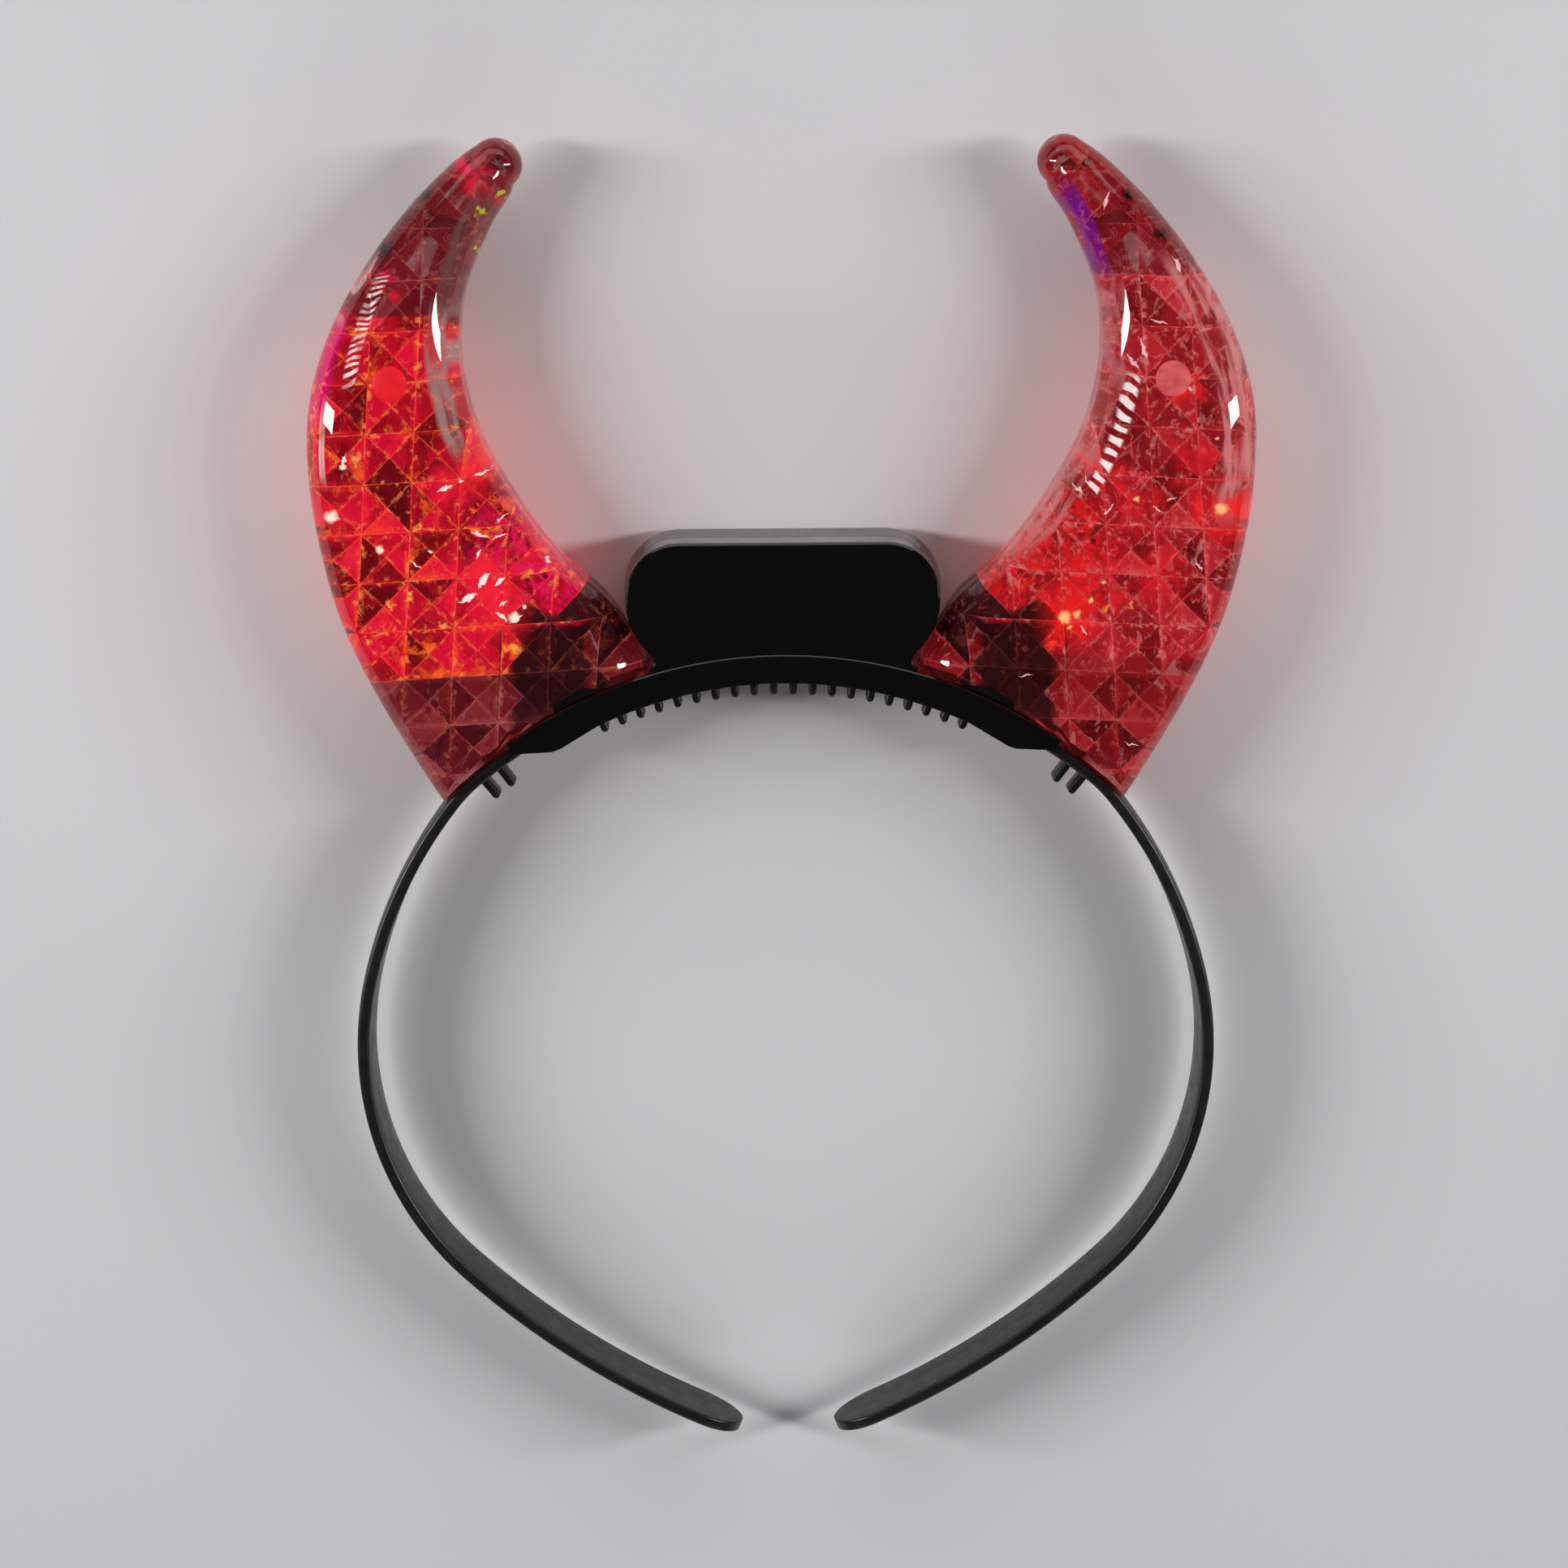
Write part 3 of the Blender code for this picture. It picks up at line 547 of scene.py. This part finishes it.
def ring_mesh(rings, side):
    """A closed bmesh from half rings, mirrored through the parting plane, in the row frame."""
    bm = bmesh.new()

    def vert(x, y, z):
        return bm.verts.new((side * x * MM, (y + DRAWING_Y) * MM, (z + DRAWING_Z) * MM))

    rows = []
    for ring in rings:
        front = [vert(*p) for p in ring]
        back = [vert(x, y, -z) for x, y, z in ring[1:-1]]
        rows.append(front + back[::-1])
    bridge(bm, rows)
    half = len(rings[0])
    for row in (rows[0], rows[-1]):
        front, back = row[:half], row[half:][::-1]
        for i in range(half - 1):
            a, b = front[i], front[i + 1]
            c = back[i] if i < half - 2 else None
            d = back[i - 1] if i > 0 else None
            corners = [v for v in (a, b, c, d) if v is not None]
            bm.faces.new(corners)
    bmesh.ops.remove_doubles(bm, verts=bm.verts, dist=0.002 * MM)
    bmesh.ops.recalc_face_normals(bm, faces=bm.faces)
    if bm.calc_volume(signed=True) < 0:
        bmesh.ops.reverse_faces(bm, faces=bm.faces)
    return bm


def cell_position(x, y):
    """Grid coordinates of a point of the drawing."""
    dx, dy = x - CELL_ORIGIN[0], y - CELL_ORIGIN[1]
    return ((CELL_UP[1] * dx - CELL_UP[0] * dy) / CELL_AREA,
            (CELL_ACROSS[0] * dy - CELL_ACROSS[1] * dx) / CELL_AREA)


def cut_facets(bm, side):
    """Cuts a horn body along the cells' edges and diagonals, and sinks each cell to a pyramid."""
    def cut(i, j, direction):
        x = CELL_ORIGIN[0] + i * CELL_ACROSS[0] + j * CELL_UP[0]
        y = CELL_ORIGIN[1] + i * CELL_ACROSS[1] + j * CELL_UP[1]
        along = Vector((CELL_ACROSS[0] * direction[0] + CELL_UP[0] * direction[1],
                        CELL_ACROSS[1] * direction[0] + CELL_UP[1] * direction[1], 0.0))
        normal = Vector((side * -along.y, along.x, 0.0)).normalized()
        place = Vector((side * x * MM, (y + DRAWING_Y) * MM, 0.0))
        geometry = bm.verts[:] + bm.edges[:] + bm.faces[:]
        bmesh.ops.bisect_plane(bm, geom=geometry, dist=0.001 * MM, plane_co=place, plane_no=normal)

    for i in CELLS_ACROSS:
        cut(i, 0, (0, 1))
    for j in CELLS_UP:
        cut(0, j, (1, 0))
    for k in range(CELLS_UP.start - CELLS_ACROSS.stop, CELLS_UP.stop - CELLS_ACROSS.start + 1):
        cut(0, k, (1, 1))
        cut(0, k, (1, -1))
    bm.normal_update()
    moved = []
    for vert in bm.verts:
        x, y = side * vert.co.x / MM, vert.co.y / MM - DRAWING_Y
        i, j = cell_position(x, y)
        reach = max(abs(2 * (i - math.floor(i)) - 1), abs(2 * (j - math.floor(j)) - 1))
        rise = CELL_RISE * np.interp(y, RISE_FADE, (1.0, TIP_RISE))
        moved.append(vert.co - vert.normal * rise * MM * (1 - reach))
    for vert, place in zip(bm.verts, moved):
        vert.co = place
    bm.normal_update()


def clear_shell_material():
    graph = Graph("clear_shell")
    waves = graph.noise(graph.position(), 90.0, 2.0)
    graph.set(Base_Color=rgb(1.0, 0.86, 0.87), Roughness=0.03, IOR=1.46, Transmission_Weight=1.0)
    graph.bump(waves, 0.05 * MM, 0.5)
    return graph.material


class HornLight(Graph):
    """Red light caught in a horn's facets: each facet shows a shifted part of the lit inside. The
    colour is painted in layers, from the lit inside to the glints on top."""

    def __init__(self, name, side, look):
        super().__init__(name)
        self.look = look
        self.at = self.vector('MULTIPLY_ADD', self.position(), (side / MM, 1 / MM, 1 / MM),
                              (0.0, -DRAWING_Y, -DRAWING_Z))
        self.x, self.y, self.z = self.split(self.at)
        normal = self.vector('MULTIPLY', self.node("NewGeometry", out=3), (side, 1.0, 1.0))
        self.near = self.moved(self.at, normal, -NEAR_SHIFT)
        self.deep = self.moved(self.at, normal, -DEEP_SHIFT)
        self.near_x, self.near_y, _ = self.split(self.near)
        wobble = self.noise(self.at, 0.9, 3.0, out=1)
        self.wobble = self.vector('SUBTRACT', wobble, (0.5, 0.5, 0.5))
        self.inner = self.edge_distance(INNER_BOW, 1.0)
        self.outer = self.edge_distance(OUTER_BOW, -1.0)
        self.find_facets()
        self.find_level()
        self.find_masks()
        self.colour = self.ramp(self.level, *look["lit"])

    def joined(self, operation, values):
        """Several values joined by one operation."""
        total, *rest = values
        for value in rest:
            total = self.math(operation, total, value)
        return total

    def product(self, *values):
        return self.joined('MULTIPLY', values)

    def moved(self, at, by, amount):
        """A point moved in the drawing's plane."""
        return self.vector('MULTIPLY_ADD', by, (amount, amount, 0.0), at)

    def flat(self, at):
        """A point brought to the drawing's plane."""
        return self.vector('MULTIPLY', at, (1.0, 1.0, 0.0))

    def stripe(self, distance, centre, half_width):
        off = self.math('ABSOLUTE', self.math('SUBTRACT', distance, centre))
        return self.step(off, half_width, half_width * 0.5)

    def between(self, value, low, high, soft):
        return self.product(self.step(value, low - soft, low + soft),
                            self.step(value, high + soft, high - soft))

    def sparks(self, at, spots, spread=0.45):
        """How bright the spots (x, y, radius) are at a point of the drawing."""
        return self.joined('MAXIMUM', (
            self.step(self.vector('DISTANCE', at, (x, y, 0.0)), radius, radius * spread)
            for x, y, radius in spots))

    def slivers(self, at, glint_strokes):
        """How bright the painted glints are at a point of the drawing, each a pointed stroke."""
        glints = []
        for x, y, length, width, angle in glint_strokes:
            away = self.vector('SUBTRACT', at, (x, y, 0.0))
            cos, sin = math.cos(math.radians(angle)), math.sin(math.radians(angle))
            along = self.vector('DOT_PRODUCT', away, (cos / length, sin / length, 0.0))
            across = self.vector('DOT_PRODUCT', away, (-sin / width, cos / width, 0.0))
            reach = self.math('ADD', self.math('ABSOLUTE', along), self.math('ABSOLUTE', across))
            glints.append(self.step(reach, 1.0, 0.7))
        return self.joined('MAXIMUM', glints)

    def edge_distance(self, bow, sign):
        """Distance in from one side of a horn: the side is close to a parabola."""
        top_x, top_y, curvature = bow
        rise = self.math('ABSOLUTE', self.math('SUBTRACT', self.y, top_y))
        side_x = self.math('MULTIPLY_ADD', self.math('POWER', rise, 2.0), -curvature, top_x)
        return self.math('MULTIPLY', self.math('SUBTRACT', self.x, side_x), sign)

    def find_facets(self):
        """Random numbers for the facet that a point is on, masks of the facets' edges and of a
        soft halo along them, and the cell's row."""
        away = self.vector('SUBTRACT', self.at, (*CELL_ORIGIN, 0.0))
        i = self.vector('DOT_PRODUCT', away, (CELL_UP[1] / CELL_AREA, -CELL_UP[0] / CELL_AREA, 0.0))
        j = self.vector('DOT_PRODUCT', away,
                        (-CELL_ACROSS[1] / CELL_AREA, CELL_ACROSS[0] / CELL_AREA, 0.0))
        ci, cj = (self.math('MULTIPLY_ADD', self.math('FRACT', v), 2.0, -1.0) for v in (i, j))
        ai, aj = self.math('ABSOLUTE', ci), self.math('ABSOLUTE', cj)
        sideways = self.math('GREATER_THAN', ai, aj)
        upright = self.math('SUBTRACT', 1.0, sideways)
        sign = self.math('ADD', self.product(sideways, self.math('SIGN', ci)),
                         self.product(upright, self.math('SIGN', cj)))
        quarter = self.math('MULTIPLY_ADD', sideways, 3.0, sign)
        facet = self.node("CombineXYZ", self.math('FLOOR', i), self.math('FLOOR', j), quarter)
        self.chance = self.node("TexWhiteNoise", facet, noise_dimensions='3D', out=1)
        border = self.math('SUBTRACT', 1.0, self.math('MAXIMUM', ai, aj))
        crease = self.math('ABSOLUTE', self.math('SUBTRACT', ai, aj))
        self.lines = self.math('MAXIMUM', self.step(border, 0.034, 0.0),
                               self.step(crease, 0.04, 0.0, 0.0, 0.8))
        self.halo = self.math('MAXIMUM', self.step(border, 0.30, 0.0),
                              self.step(crease, 0.22, 0.0, 0.0, 0.6))
        self.row = j

    def find_level(self):
        """How bright a point is: by its facet, in soft patches and in stray shards of light."""
        chances = self.split(self.chance)
        spread = self.vector('MULTIPLY_ADD', self.chance, FACET_SPREAD, self.deep)
        self.fine = self.noise(spread, 0.30, 3.0, 1.6)
        shifted = self.vector('MULTIPLY_ADD', self.chance, FACET_SHIFT, self.deep)
        self.bent = self.moved(shifted, self.wobble, 3.0)
        flat = self.vector('MULTIPLY', self.bent, (1.0, 0.62, 0.0))
        self.cracks = self.shards(flat, 0.25, 'DISTANCE_TO_EDGE', 0)
        parts = {
            "facet": chances[0],
            "patches": self.noise(self.deep, 0.085, 2.0, 0.6),
            "shards": self.split(self.shards(flat, 0.25))[0],
            "fine": self.fine,
            "grain": self.noise(self.vector('MULTIPLY', self.near, (1.0, 0.35, 1.0)), 1.7, 3.0, 1.0),
            "rim": self.product(self.halo, chances[1]),
        }
        self.level = LEVEL_BASE
        for key, share in LEVEL_SHARES.items():
            self.level = self.math('MULTIPLY_ADD', parts[key], share, self.level)

    def find_masks(self):
        """Where the horn is lit, where it nears its tip, where the lamp's holder hides it under its
        own dark and painted shade, and a scatter of patches for painted glints."""
        low, high = self.look["rows"]
        self.lit = self.product(self.between(self.row, low, high, 0.04),
                                self.step(self.near_x, *LIT_FROM_X))
        self.tip = self.step(self.near_y, *TIP_FADE)
        self.held = self.product(self.between(self.near_x, *HOLDER_X, 1.0),
                                 self.between(self.near_y, *HOLDER_Y, 0.8))
        self.unheld = self.math('MULTIPLY_ADD', self.held, -0.8, 1.0)
        self.glint_patches = self.noise(self.vector('MULTIPLY', self.near, (1.0, 0.45, 1.0)), 0.55, 3.0, 1.2)

    def paint(self, mask, colour):
        self.colour = self.mix(mask, self.colour, colour)

    def paint_inside(self):
        """The lit part, pink near the lamp and orange to gold where it is hot, with dusk above and
        below it, deeper where the horn thins."""
        look = self.look
        reach = look["pink_reach"]
        pink = self.step(self.vector('DISTANCE', self.near, PINK_CENTRE), reach + 3.0, reach - 3.0)
        self.paint(self.product(pink, self.step(self.fine, 0.40, 0.62)), look["pink"])
        heat = self.noise(self.bent, 0.12, 4.0, 1.2)
        self.paint(self.step(heat, look["warm"], look["warm"] + 0.14), look["orange"])
        self.paint(self.step(heat, look["gold_from"], look["gold_from"] + 0.09), look["gold"])
        dusk, deep = (self.ramp(self.level, *look[key]) for key in ("dusk", "deep"))
        dusk = self.mix(self.between(self.near_y, *DEEP_HEIGHTS, 3.0), dusk, deep)
        self.colour = self.mix(self.lit, dusk, self.colour)

    def paint_pale_glints(self):
        """Painted pale glints in flake-like patches, most of them near the tip."""
        share = self.math('MAXIMUM', self.look["pale"], self.product(self.tip, 0.35))
        glint_patches = self.step(self.glint_patches, self.look["pale_from"], self.look["pale_from"] + 0.07)
        self.paint(self.product(glint_patches, share), self.look["glint"])

    def paint_bands(self):
        """Streaky bands of reflected light along the horn's sides."""
        slow_y, slow_z = self.product(self.y, 0.10), self.product(self.z, 0.22)
        for place, half_width, low, high, least, tone in self.look["bands"]:
            distance = self.outer if place < 0 else self.inner
            flow = self.node("CombineXYZ", distance, slow_y, slow_z)
            streaks = self.step(self.noise(flow, self.look["streak"], 3.0), 0.40, 0.62, least, 0.95)
            self.paint(self.product(self.stripe(distance, abs(place), half_width),
                                    self.between(self.y, low, high, 2.5), streaks), tone)

    def paint_holder(self):
        """The holder's own dark seen through the facets and painted shade where it keeps the lamp's
        light off them, with a faint painted gleam on the brightest facets.
        """
        ends = (0.50, self.look["holder"]), (0.95, self.look["holder_gleam"])
        self.paint(self.held, self.ramp(self.level, *ends))

    def paint_edges(self):
        """Painted highlights: bright lines along the facets' edges, cracks of light across them, and
        small glints near the edges.
        """
        look = self.look
        tone = self.mix(self.lit, look["line_dusk"], look["line"])
        shine = self.noise(self.at, 0.35, 3.0, 1.0)
        shine = self.step(shine, 0.35, 0.62, 0.15, look["line_strength"])
        off_sides = self.step(self.math('MINIMUM', self.inner, self.outer), 0.5, 4.0, 0.25, 1.0)
        below_tip = self.math('MULTIPLY_ADD', self.tip, -0.6, 1.0)
        self.paint(self.product(self.lines, shine, off_sides, self.unheld, below_tip), tone)
        shine = self.step(self.noise(self.at, 0.5, 2.0), 0.46, 0.62, 0.0, look["stroke_strength"])
        self.paint(self.product(self.step(self.cracks, 0.05, 0.0), shine, self.unheld), tone)
        # Small painted glints in the halo along the facets' edges.
        edge_glints = self.step(self.noise(self.near, 0.8, 1.0), 0.56, 0.68, 0.0, 0.6)
        share = self.math('MAXIMUM', self.lit, 0.3)
        self.paint(self.product(edge_glints, self.halo, share, self.unheld), look["edge_glint"])

    def paint_spots(self):
        """Embers and glows of painted light around the lamp's glints, dark and coloured flecks, and
        sharp painted glints.
        """
        look = self.look
        near = self.flat(self.near)
        patchy = self.step(self.fine, 0.30, 0.60, 0.25, 0.8)
        self.paint(self.product(self.sparks(near, look["embers"], 0.0), patchy, self.unheld),
                   look["ember"])
        by_facet = self.step(self.level, 0.2, 0.6, 0.3, 0.85)
        self.paint(self.product(self.sparks(near, look["hot"], 0.0), by_facet), look["glow"])
        warped = self.flat(self.moved(self.at, self.wobble, 3.4))
        self.paint(self.sparks(warped, look["dark"]), look["holder"])
        self.paint(self.sparks(warped, look["amber"], 0.0), look["gold"])
        if look["green"]:
            self.paint(self.sparks(warped, look["green"]), GREEN)
        # Painted glints: pointed slivers, and bright cores where the lamp's light glints through the
        # facets.
        bowed = self.flat(self.moved(self.at, self.wobble, 1.3))
        self.paint(self.slivers(bowed, look["glint_strokes"]), look["glint_core"])
        self.paint(self.sparks(bowed, look["lamp_glints"], 0.25), look["lamp_glint_core"])

    def paint_ladder_highlight(self):
        """A painted highlight: a row of short bright bars along one side."""
        ladder_highlight = self.look["ladder_highlight"]
        rail = self.outer if ladder_highlight["outer"] else self.inner
        uneven = self.math('MULTIPLY_ADD', self.noise(self.at, 0.22, 1.0), 3.0, self.y)
        lean = self.math('MULTIPLY_ADD', self.math('POWER', rail, 2.0), ladder_highlight["lean"], uneven)
        wave = self.math('SINE', self.product(lean, 2 * math.pi / ladder_highlight["pitch"]))
        path = self.math('MULTIPLY_ADD', self.y, -ladder_highlight["drift"], rail)
        bars = self.product(self.step(wave, -0.2, 0.35),
                            self.step(self.glint_patches, 0.40, 0.52, ladder_highlight["least"], 1.0),
                            self.stripe(path, ladder_highlight["centre"], ladder_highlight["half_width"]),
                            self.between(self.y, *ladder_highlight["heights"], 0.8))
        self.paint(bars, ladder_highlight["tone"])


def lit_facets_material(name, side, look):
    light = HornLight(name, side, look)
    light.paint_inside()
    light.paint_pale_glints()
    light.paint_bands()
    light.paint_holder()
    light.paint_edges()
    light.paint_spots()
    light.paint_ladder_highlight()
    light.set(Base_Color=look["base"], Roughness=0.16, Specular_IOR_Level=0.05)
    light.set(Emission_Color=light.colour, Emission_Strength=1.0)
    return light.material


def glowing_boss_material(name, tone, edge):
    # The boss glows: its mottled emission is painted light, the lamp's red light caught in it.
    graph = Graph(name)
    at = graph.position()
    mottle = graph.step(graph.noise(at, 700.0, 3.0), 0.3, 0.7)
    graph.set(Base_Color=rgb(0.2, 0.01, 0.02), Roughness=0.3)
    graph.set(Emission_Color=graph.mix(mottle, tone, edge), Emission_Strength=1.0)
    return graph.material


def black_plastic_material(name, base, roughness, grain):
    graph = Graph(name)
    at = graph.position()
    rough = graph.step(graph.noise(at, 400.0, 4.0), 0.3, 0.7, roughness - 0.04, roughness + 0.06)
    graph.set(Base_Color=rgb(base, base, 1.1 * base), Roughness=rough, IOR=1.5)
    graph.bump(graph.noise(at, 2600.0, 2.0), grain * MM, 0.6)
    return graph.material


def lamp_material():
    graph = Graph("led_lens")
    graph.set(Base_Color=rgb(0.9, 0.04, 0.03), Roughness=0.1, Emission_Color=rgb(1.0, 0.08, 0.03))
    graph.set(Emission_Strength=6.0)
    return graph.material


def make_boss(name, side, material):
    """The disc where a horn's two halves meet, inside the clear shell."""
    bm = bmesh.new()
    x, y = BOSS_CENTRE
    place = Matrix.Translation((side * x * MM, (y + DRAWING_Y) * MM, DRAWING_Z * MM))
    bmesh.ops.create_cone(bm, cap_ends=True, segments=BOSS_SIDES, radius1=BOSS_RADIUS * MM,
                          radius2=BOSS_RADIUS * MM, depth=2 * BOSS_HALF_DEPTH * MM, matrix=place)
    rims = [e for e in bm.edges if abs(e.verts[0].co.z - e.verts[1].co.z) < 0.01 * MM]
    bmesh.ops.bevel(bm, geom=rims, offset=BOSS_EDGE * MM, segments=3, affect='EDGES', profile=0.5)
    return new_object(name, bm, material)


def make_horn(hand, side, clear):
    look = LOOKS[hand]
    name = "horn_" + hand
    shell = new_object(name + "_shell", ring_mesh(horn_rows(0.0, SEAM_GROOVE), side), clear)
    inside = ring_mesh(horn_rows(WALL, 0.0, SEAT_GAP + BASE_WALL), side)
    cut_facets(inside, side)
    lit = new_object(name + "_facets", inside, lit_facets_material("lit_" + hand, side, look), 12.0)
    boss = make_boss(name + "_boss", side, glowing_boss_material("boss_" + hand, *look["boss"]))
    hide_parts(name + "_front", name + "_back")


def off_band(station, out, z, side):
    """A point at a height above the band's outer face, negative towards the head, in metres."""
    _, x, y, heading = station
    return (side * (x + out * math.sin(heading)) * MM,
            (y + out * math.cos(heading) + DRAWING_Y) * MM, (z + DRAWING_Z) * MM)


def band_profile(half_width):
    """The band's cross-section as (height, across): flat inside, crowned outside, round edges."""
    edge = min(BAND_EDGE, half_width / 2)
    turns = [math.radians(90 * i / BAND_EDGE_STEPS) for i in range(BAND_EDGE_STEPS + 1)]
    low, high = -BAND_THICKNESS + edge, -BAND_CROWN - edge
    flat = half_width - edge
    half = [(-BAND_THICKNESS, flat * f) for f in (0.0, 0.5)]
    half += [(low - edge * math.cos(a), flat + edge * math.sin(a)) for a in turns]
    half += [(high + edge * math.sin(a), flat + edge * math.cos(a)) for a in turns]
    half += [(-BAND_CROWN * f * f, flat * f) for f in (0.75, 0.5, 0.25, 0.0)]
    return half + [(out, -across) for out, across in reversed(half[1:-1])]


def station_at(distance, stations):
    """The station at a distance along the outer face."""
    table = np.array(stations)
    return [float(np.interp(distance, table[:, 0], table[:, i])) for i in range(4)]


def add_band(bm, stations):
    """The band from tip to tip."""
    end = stations[-1][0]
    shoulder = end - BAND_TIP_LENGTH
    right = [(s, BAND_WIDTH + (BAND_TIP_WIDTH - BAND_WIDTH) * s[0] / end)
             for s in stations if s[0] < shoulder - BAND_EDGE]
    for i in range(BAND_TIP_STEPS):
        a = math.radians(90 * i / BAND_TIP_STEPS)
        station = station_at(shoulder + BAND_TIP_LENGTH * math.sin(a), stations)
        right.append((station, BAND_TIP_WIDTH * math.cos(a)))
    sections = [(item, -1) for item in reversed(right[1:])] + [(item, 1) for item in right]
    rings = [[bm.verts.new(off_band(station, out, z, side)) for out, z in band_profile(width / 2)]
             for (station, width), side in sections]
    bridge(bm, rings)
    bm.faces.new(rings[0])
    bm.faces.new(rings[-1])


def add_tooth(bm, station, side):
    """A comb tooth that hangs from the band's inner face, with a round end and eased edges."""
    half = TOOTH_WIDTH / 2
    knee = -BAND_THICKNESS - TOOTH_LENGTH + half
    outline = [(-half, -BAND_THICKNESS + TOOTH_ROOT), (half, -BAND_THICKNESS + TOOTH_ROOT)]
    outline += [(half * math.cos(a), knee - half * math.sin(a))
                for a in (math.pi * i / TOOTH_ARC for i in range(TOOTH_ARC + 1))]
    _, x, y, heading = station
    rings = []
    for z, shrink in TOOTH_SECTIONS:
        depth = z * TOOTH_DEPTH / 2
        inset = (1 - shrink) * half
        ring = []
        for u, v in outline:
            across, out = u * shrink, v + (inset if v < knee + half else 0.0)
            shifted = (x + across * math.cos(heading), y - across * math.sin(heading))
            ring.append(bm.verts.new(off_band((0.0, *shifted, heading), out, depth, side)))
        rings.append(ring)
    bridge(bm, rings)
    bm.faces.new(rings[0])
    bm.faces.new(rings[-1])


def make_band(material):
    bm = bmesh.new()
    stations = band_stations()
    add_band(bm, stations)
    places = [(i + 0.5) * TOOTH_PITCH for i in range(TEETH_IN_CHANNEL)]
    for side in (1, -1):
        for place in (*places, *TEETH_PAST_FOOT):
            add_tooth(bm, station_at(place, stations), side)
    bmesh.ops.recalc_face_normals(bm, faces=bm.faces)
    band = new_object("band_and_comb", bm, material)
    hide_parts("headband")


def dress_frame(nodes):
    """Better materials on the CAD nodes that keep their shape."""
    housing = black_plastic_material("housing_black", 0.0015, 0.14, 0.01)
    holder = black_plastic_material("holder_black", 0.003, 0.4, 0.02)
    lamp = lamp_material()
    for name, node in nodes.items():
        if name.startswith("housing"):
            material = housing
        elif name.startswith("led_holder"):
            material = holder
        elif name.startswith("led"):
            material = lamp
        else:
            continue
        node.data.materials.clear()
        node.data.materials.append(material)


def make_floor():
    bm = bmesh.new()
    bmesh.ops.create_grid(bm, x_segments=1, y_segments=1, size=FLOOR_HALF)
    mesh = bpy.data.meshes.new("floor")
    bm.to_mesh(mesh)
    bm.free()
    graph = Graph("floor_pale")
    tone = graph.step(graph.noise(graph.position(), 3.0, 3.0), 0.3, 0.7)
    tone = graph.mix(tone, rgb(0.66, 0.66, 0.67), rgb(0.69, 0.69, 0.70))
    graph.set(Base_Color=tone, Roughness=0.7)
    mesh.materials.append(graph.material)
    floor = bpy.data.objects.new("floor", mesh)
    bpy.context.scene.collection.objects.link(floor)
    floor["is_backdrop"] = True


def add_area(name, place, target, size, power):
    """A rectangular soft light at place, aimed at target."""
    light = bpy.data.lights.new(name, 'AREA')
    light.shape = 'RECTANGLE'
    light.size, light.size_y = size
    light.energy = power
    obj = bpy.data.objects.new(name, light)
    obj.location = place
    obj.rotation_euler = (Vector(target) - Vector(place)).to_track_quat('-Z', 'Y').to_euler()
    bpy.context.scene.collection.objects.link(obj)


def add_glow(name, place):
    """The red light that a lit horn gives off, placed in mm."""
    light = bpy.data.lights.new(name, 'POINT')
    light.energy = GLOW_POWER
    light.color = (1.0, 0.03, 0.03)
    light.shadow_soft_size = 8.0 * MM
    light.use_shadow = False
    obj = bpy.data.objects.new(name, light)
    obj.location = Vector(place) * MM
    bpy.context.scene.collection.objects.link(obj)


def make_lights():
    for softbox in SOFTBOXES:
        add_area(*softbox)
    for hand, side in SIDES.items():
        add_glow("lamp_glow_" + hand, (side * GLOW_PLACE[0], GLOW_PLACE[1] + DRAWING_Y, DRAWING_Z))
    world = bpy.data.worlds.new("studio")
    world.use_nodes = True
    sky = world.node_tree.nodes["Background"]
    sky.inputs["Color"].default_value = rgb(0.9, 0.92, 1.0)
    sky.inputs["Strength"].default_value = WORLD_STRENGTH
    bpy.context.scene.world = world
    bpy.context.scene.view_settings.view_transform = 'Standard'


def make_camera():
    tilt, yaw, roll = (math.radians(a) for a in (CAMERA_TILT, CAMERA_YAW, CAMERA_ROLL))
    middle = Vector((0.0, DRAWING_Y * MM, DRAWING_Z * MM))
    back = Vector((-math.sin(yaw), math.cos(yaw) * math.sin(tilt), math.cos(yaw) * math.cos(tilt)))
    right = Vector((0, 1, 0)).cross(back).normalized()
    up = back.cross(right)
    rolled_right = right * math.cos(roll) - up * math.sin(roll)
    rolled_up = up * math.cos(roll) + right * math.sin(roll)
    data = bpy.data.cameras.new("camera")
    data.lens = CAMERA_LENS
    data.sensor_width = CAMERA_SENSOR
    data.clip_start = 0.01
    camera = bpy.data.objects.new("camera", data)
    axes = Matrix((rolled_right, rolled_up, back)).transposed().to_4x4()
    camera.matrix_world = Matrix.Translation(middle + back * CAMERA_DISTANCE) @ axes
    bpy.context.scene.collection.objects.link(camera)
    bpy.context.scene.camera = camera


def corners(box):
    return [[float(v) for v in corner] for corner in box]


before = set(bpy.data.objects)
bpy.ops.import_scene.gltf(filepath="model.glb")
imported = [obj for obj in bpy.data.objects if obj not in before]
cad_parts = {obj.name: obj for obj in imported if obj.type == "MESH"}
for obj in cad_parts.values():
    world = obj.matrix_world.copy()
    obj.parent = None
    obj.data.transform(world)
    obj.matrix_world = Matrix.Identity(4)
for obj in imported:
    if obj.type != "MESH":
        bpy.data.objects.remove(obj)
cad_box = corners(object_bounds())
make_camera()
make_lights()
make_floor()
dress_frame(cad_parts)
make_band(black_plastic_material("band_black", 0.006, 0.36, 0.02))
shell_material = clear_shell_material()
for hand_name, hand_side in SIDES.items():
    make_horn(hand_name, hand_side, shell_material)
{"cad": cad_box, "visual": corners(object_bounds())}
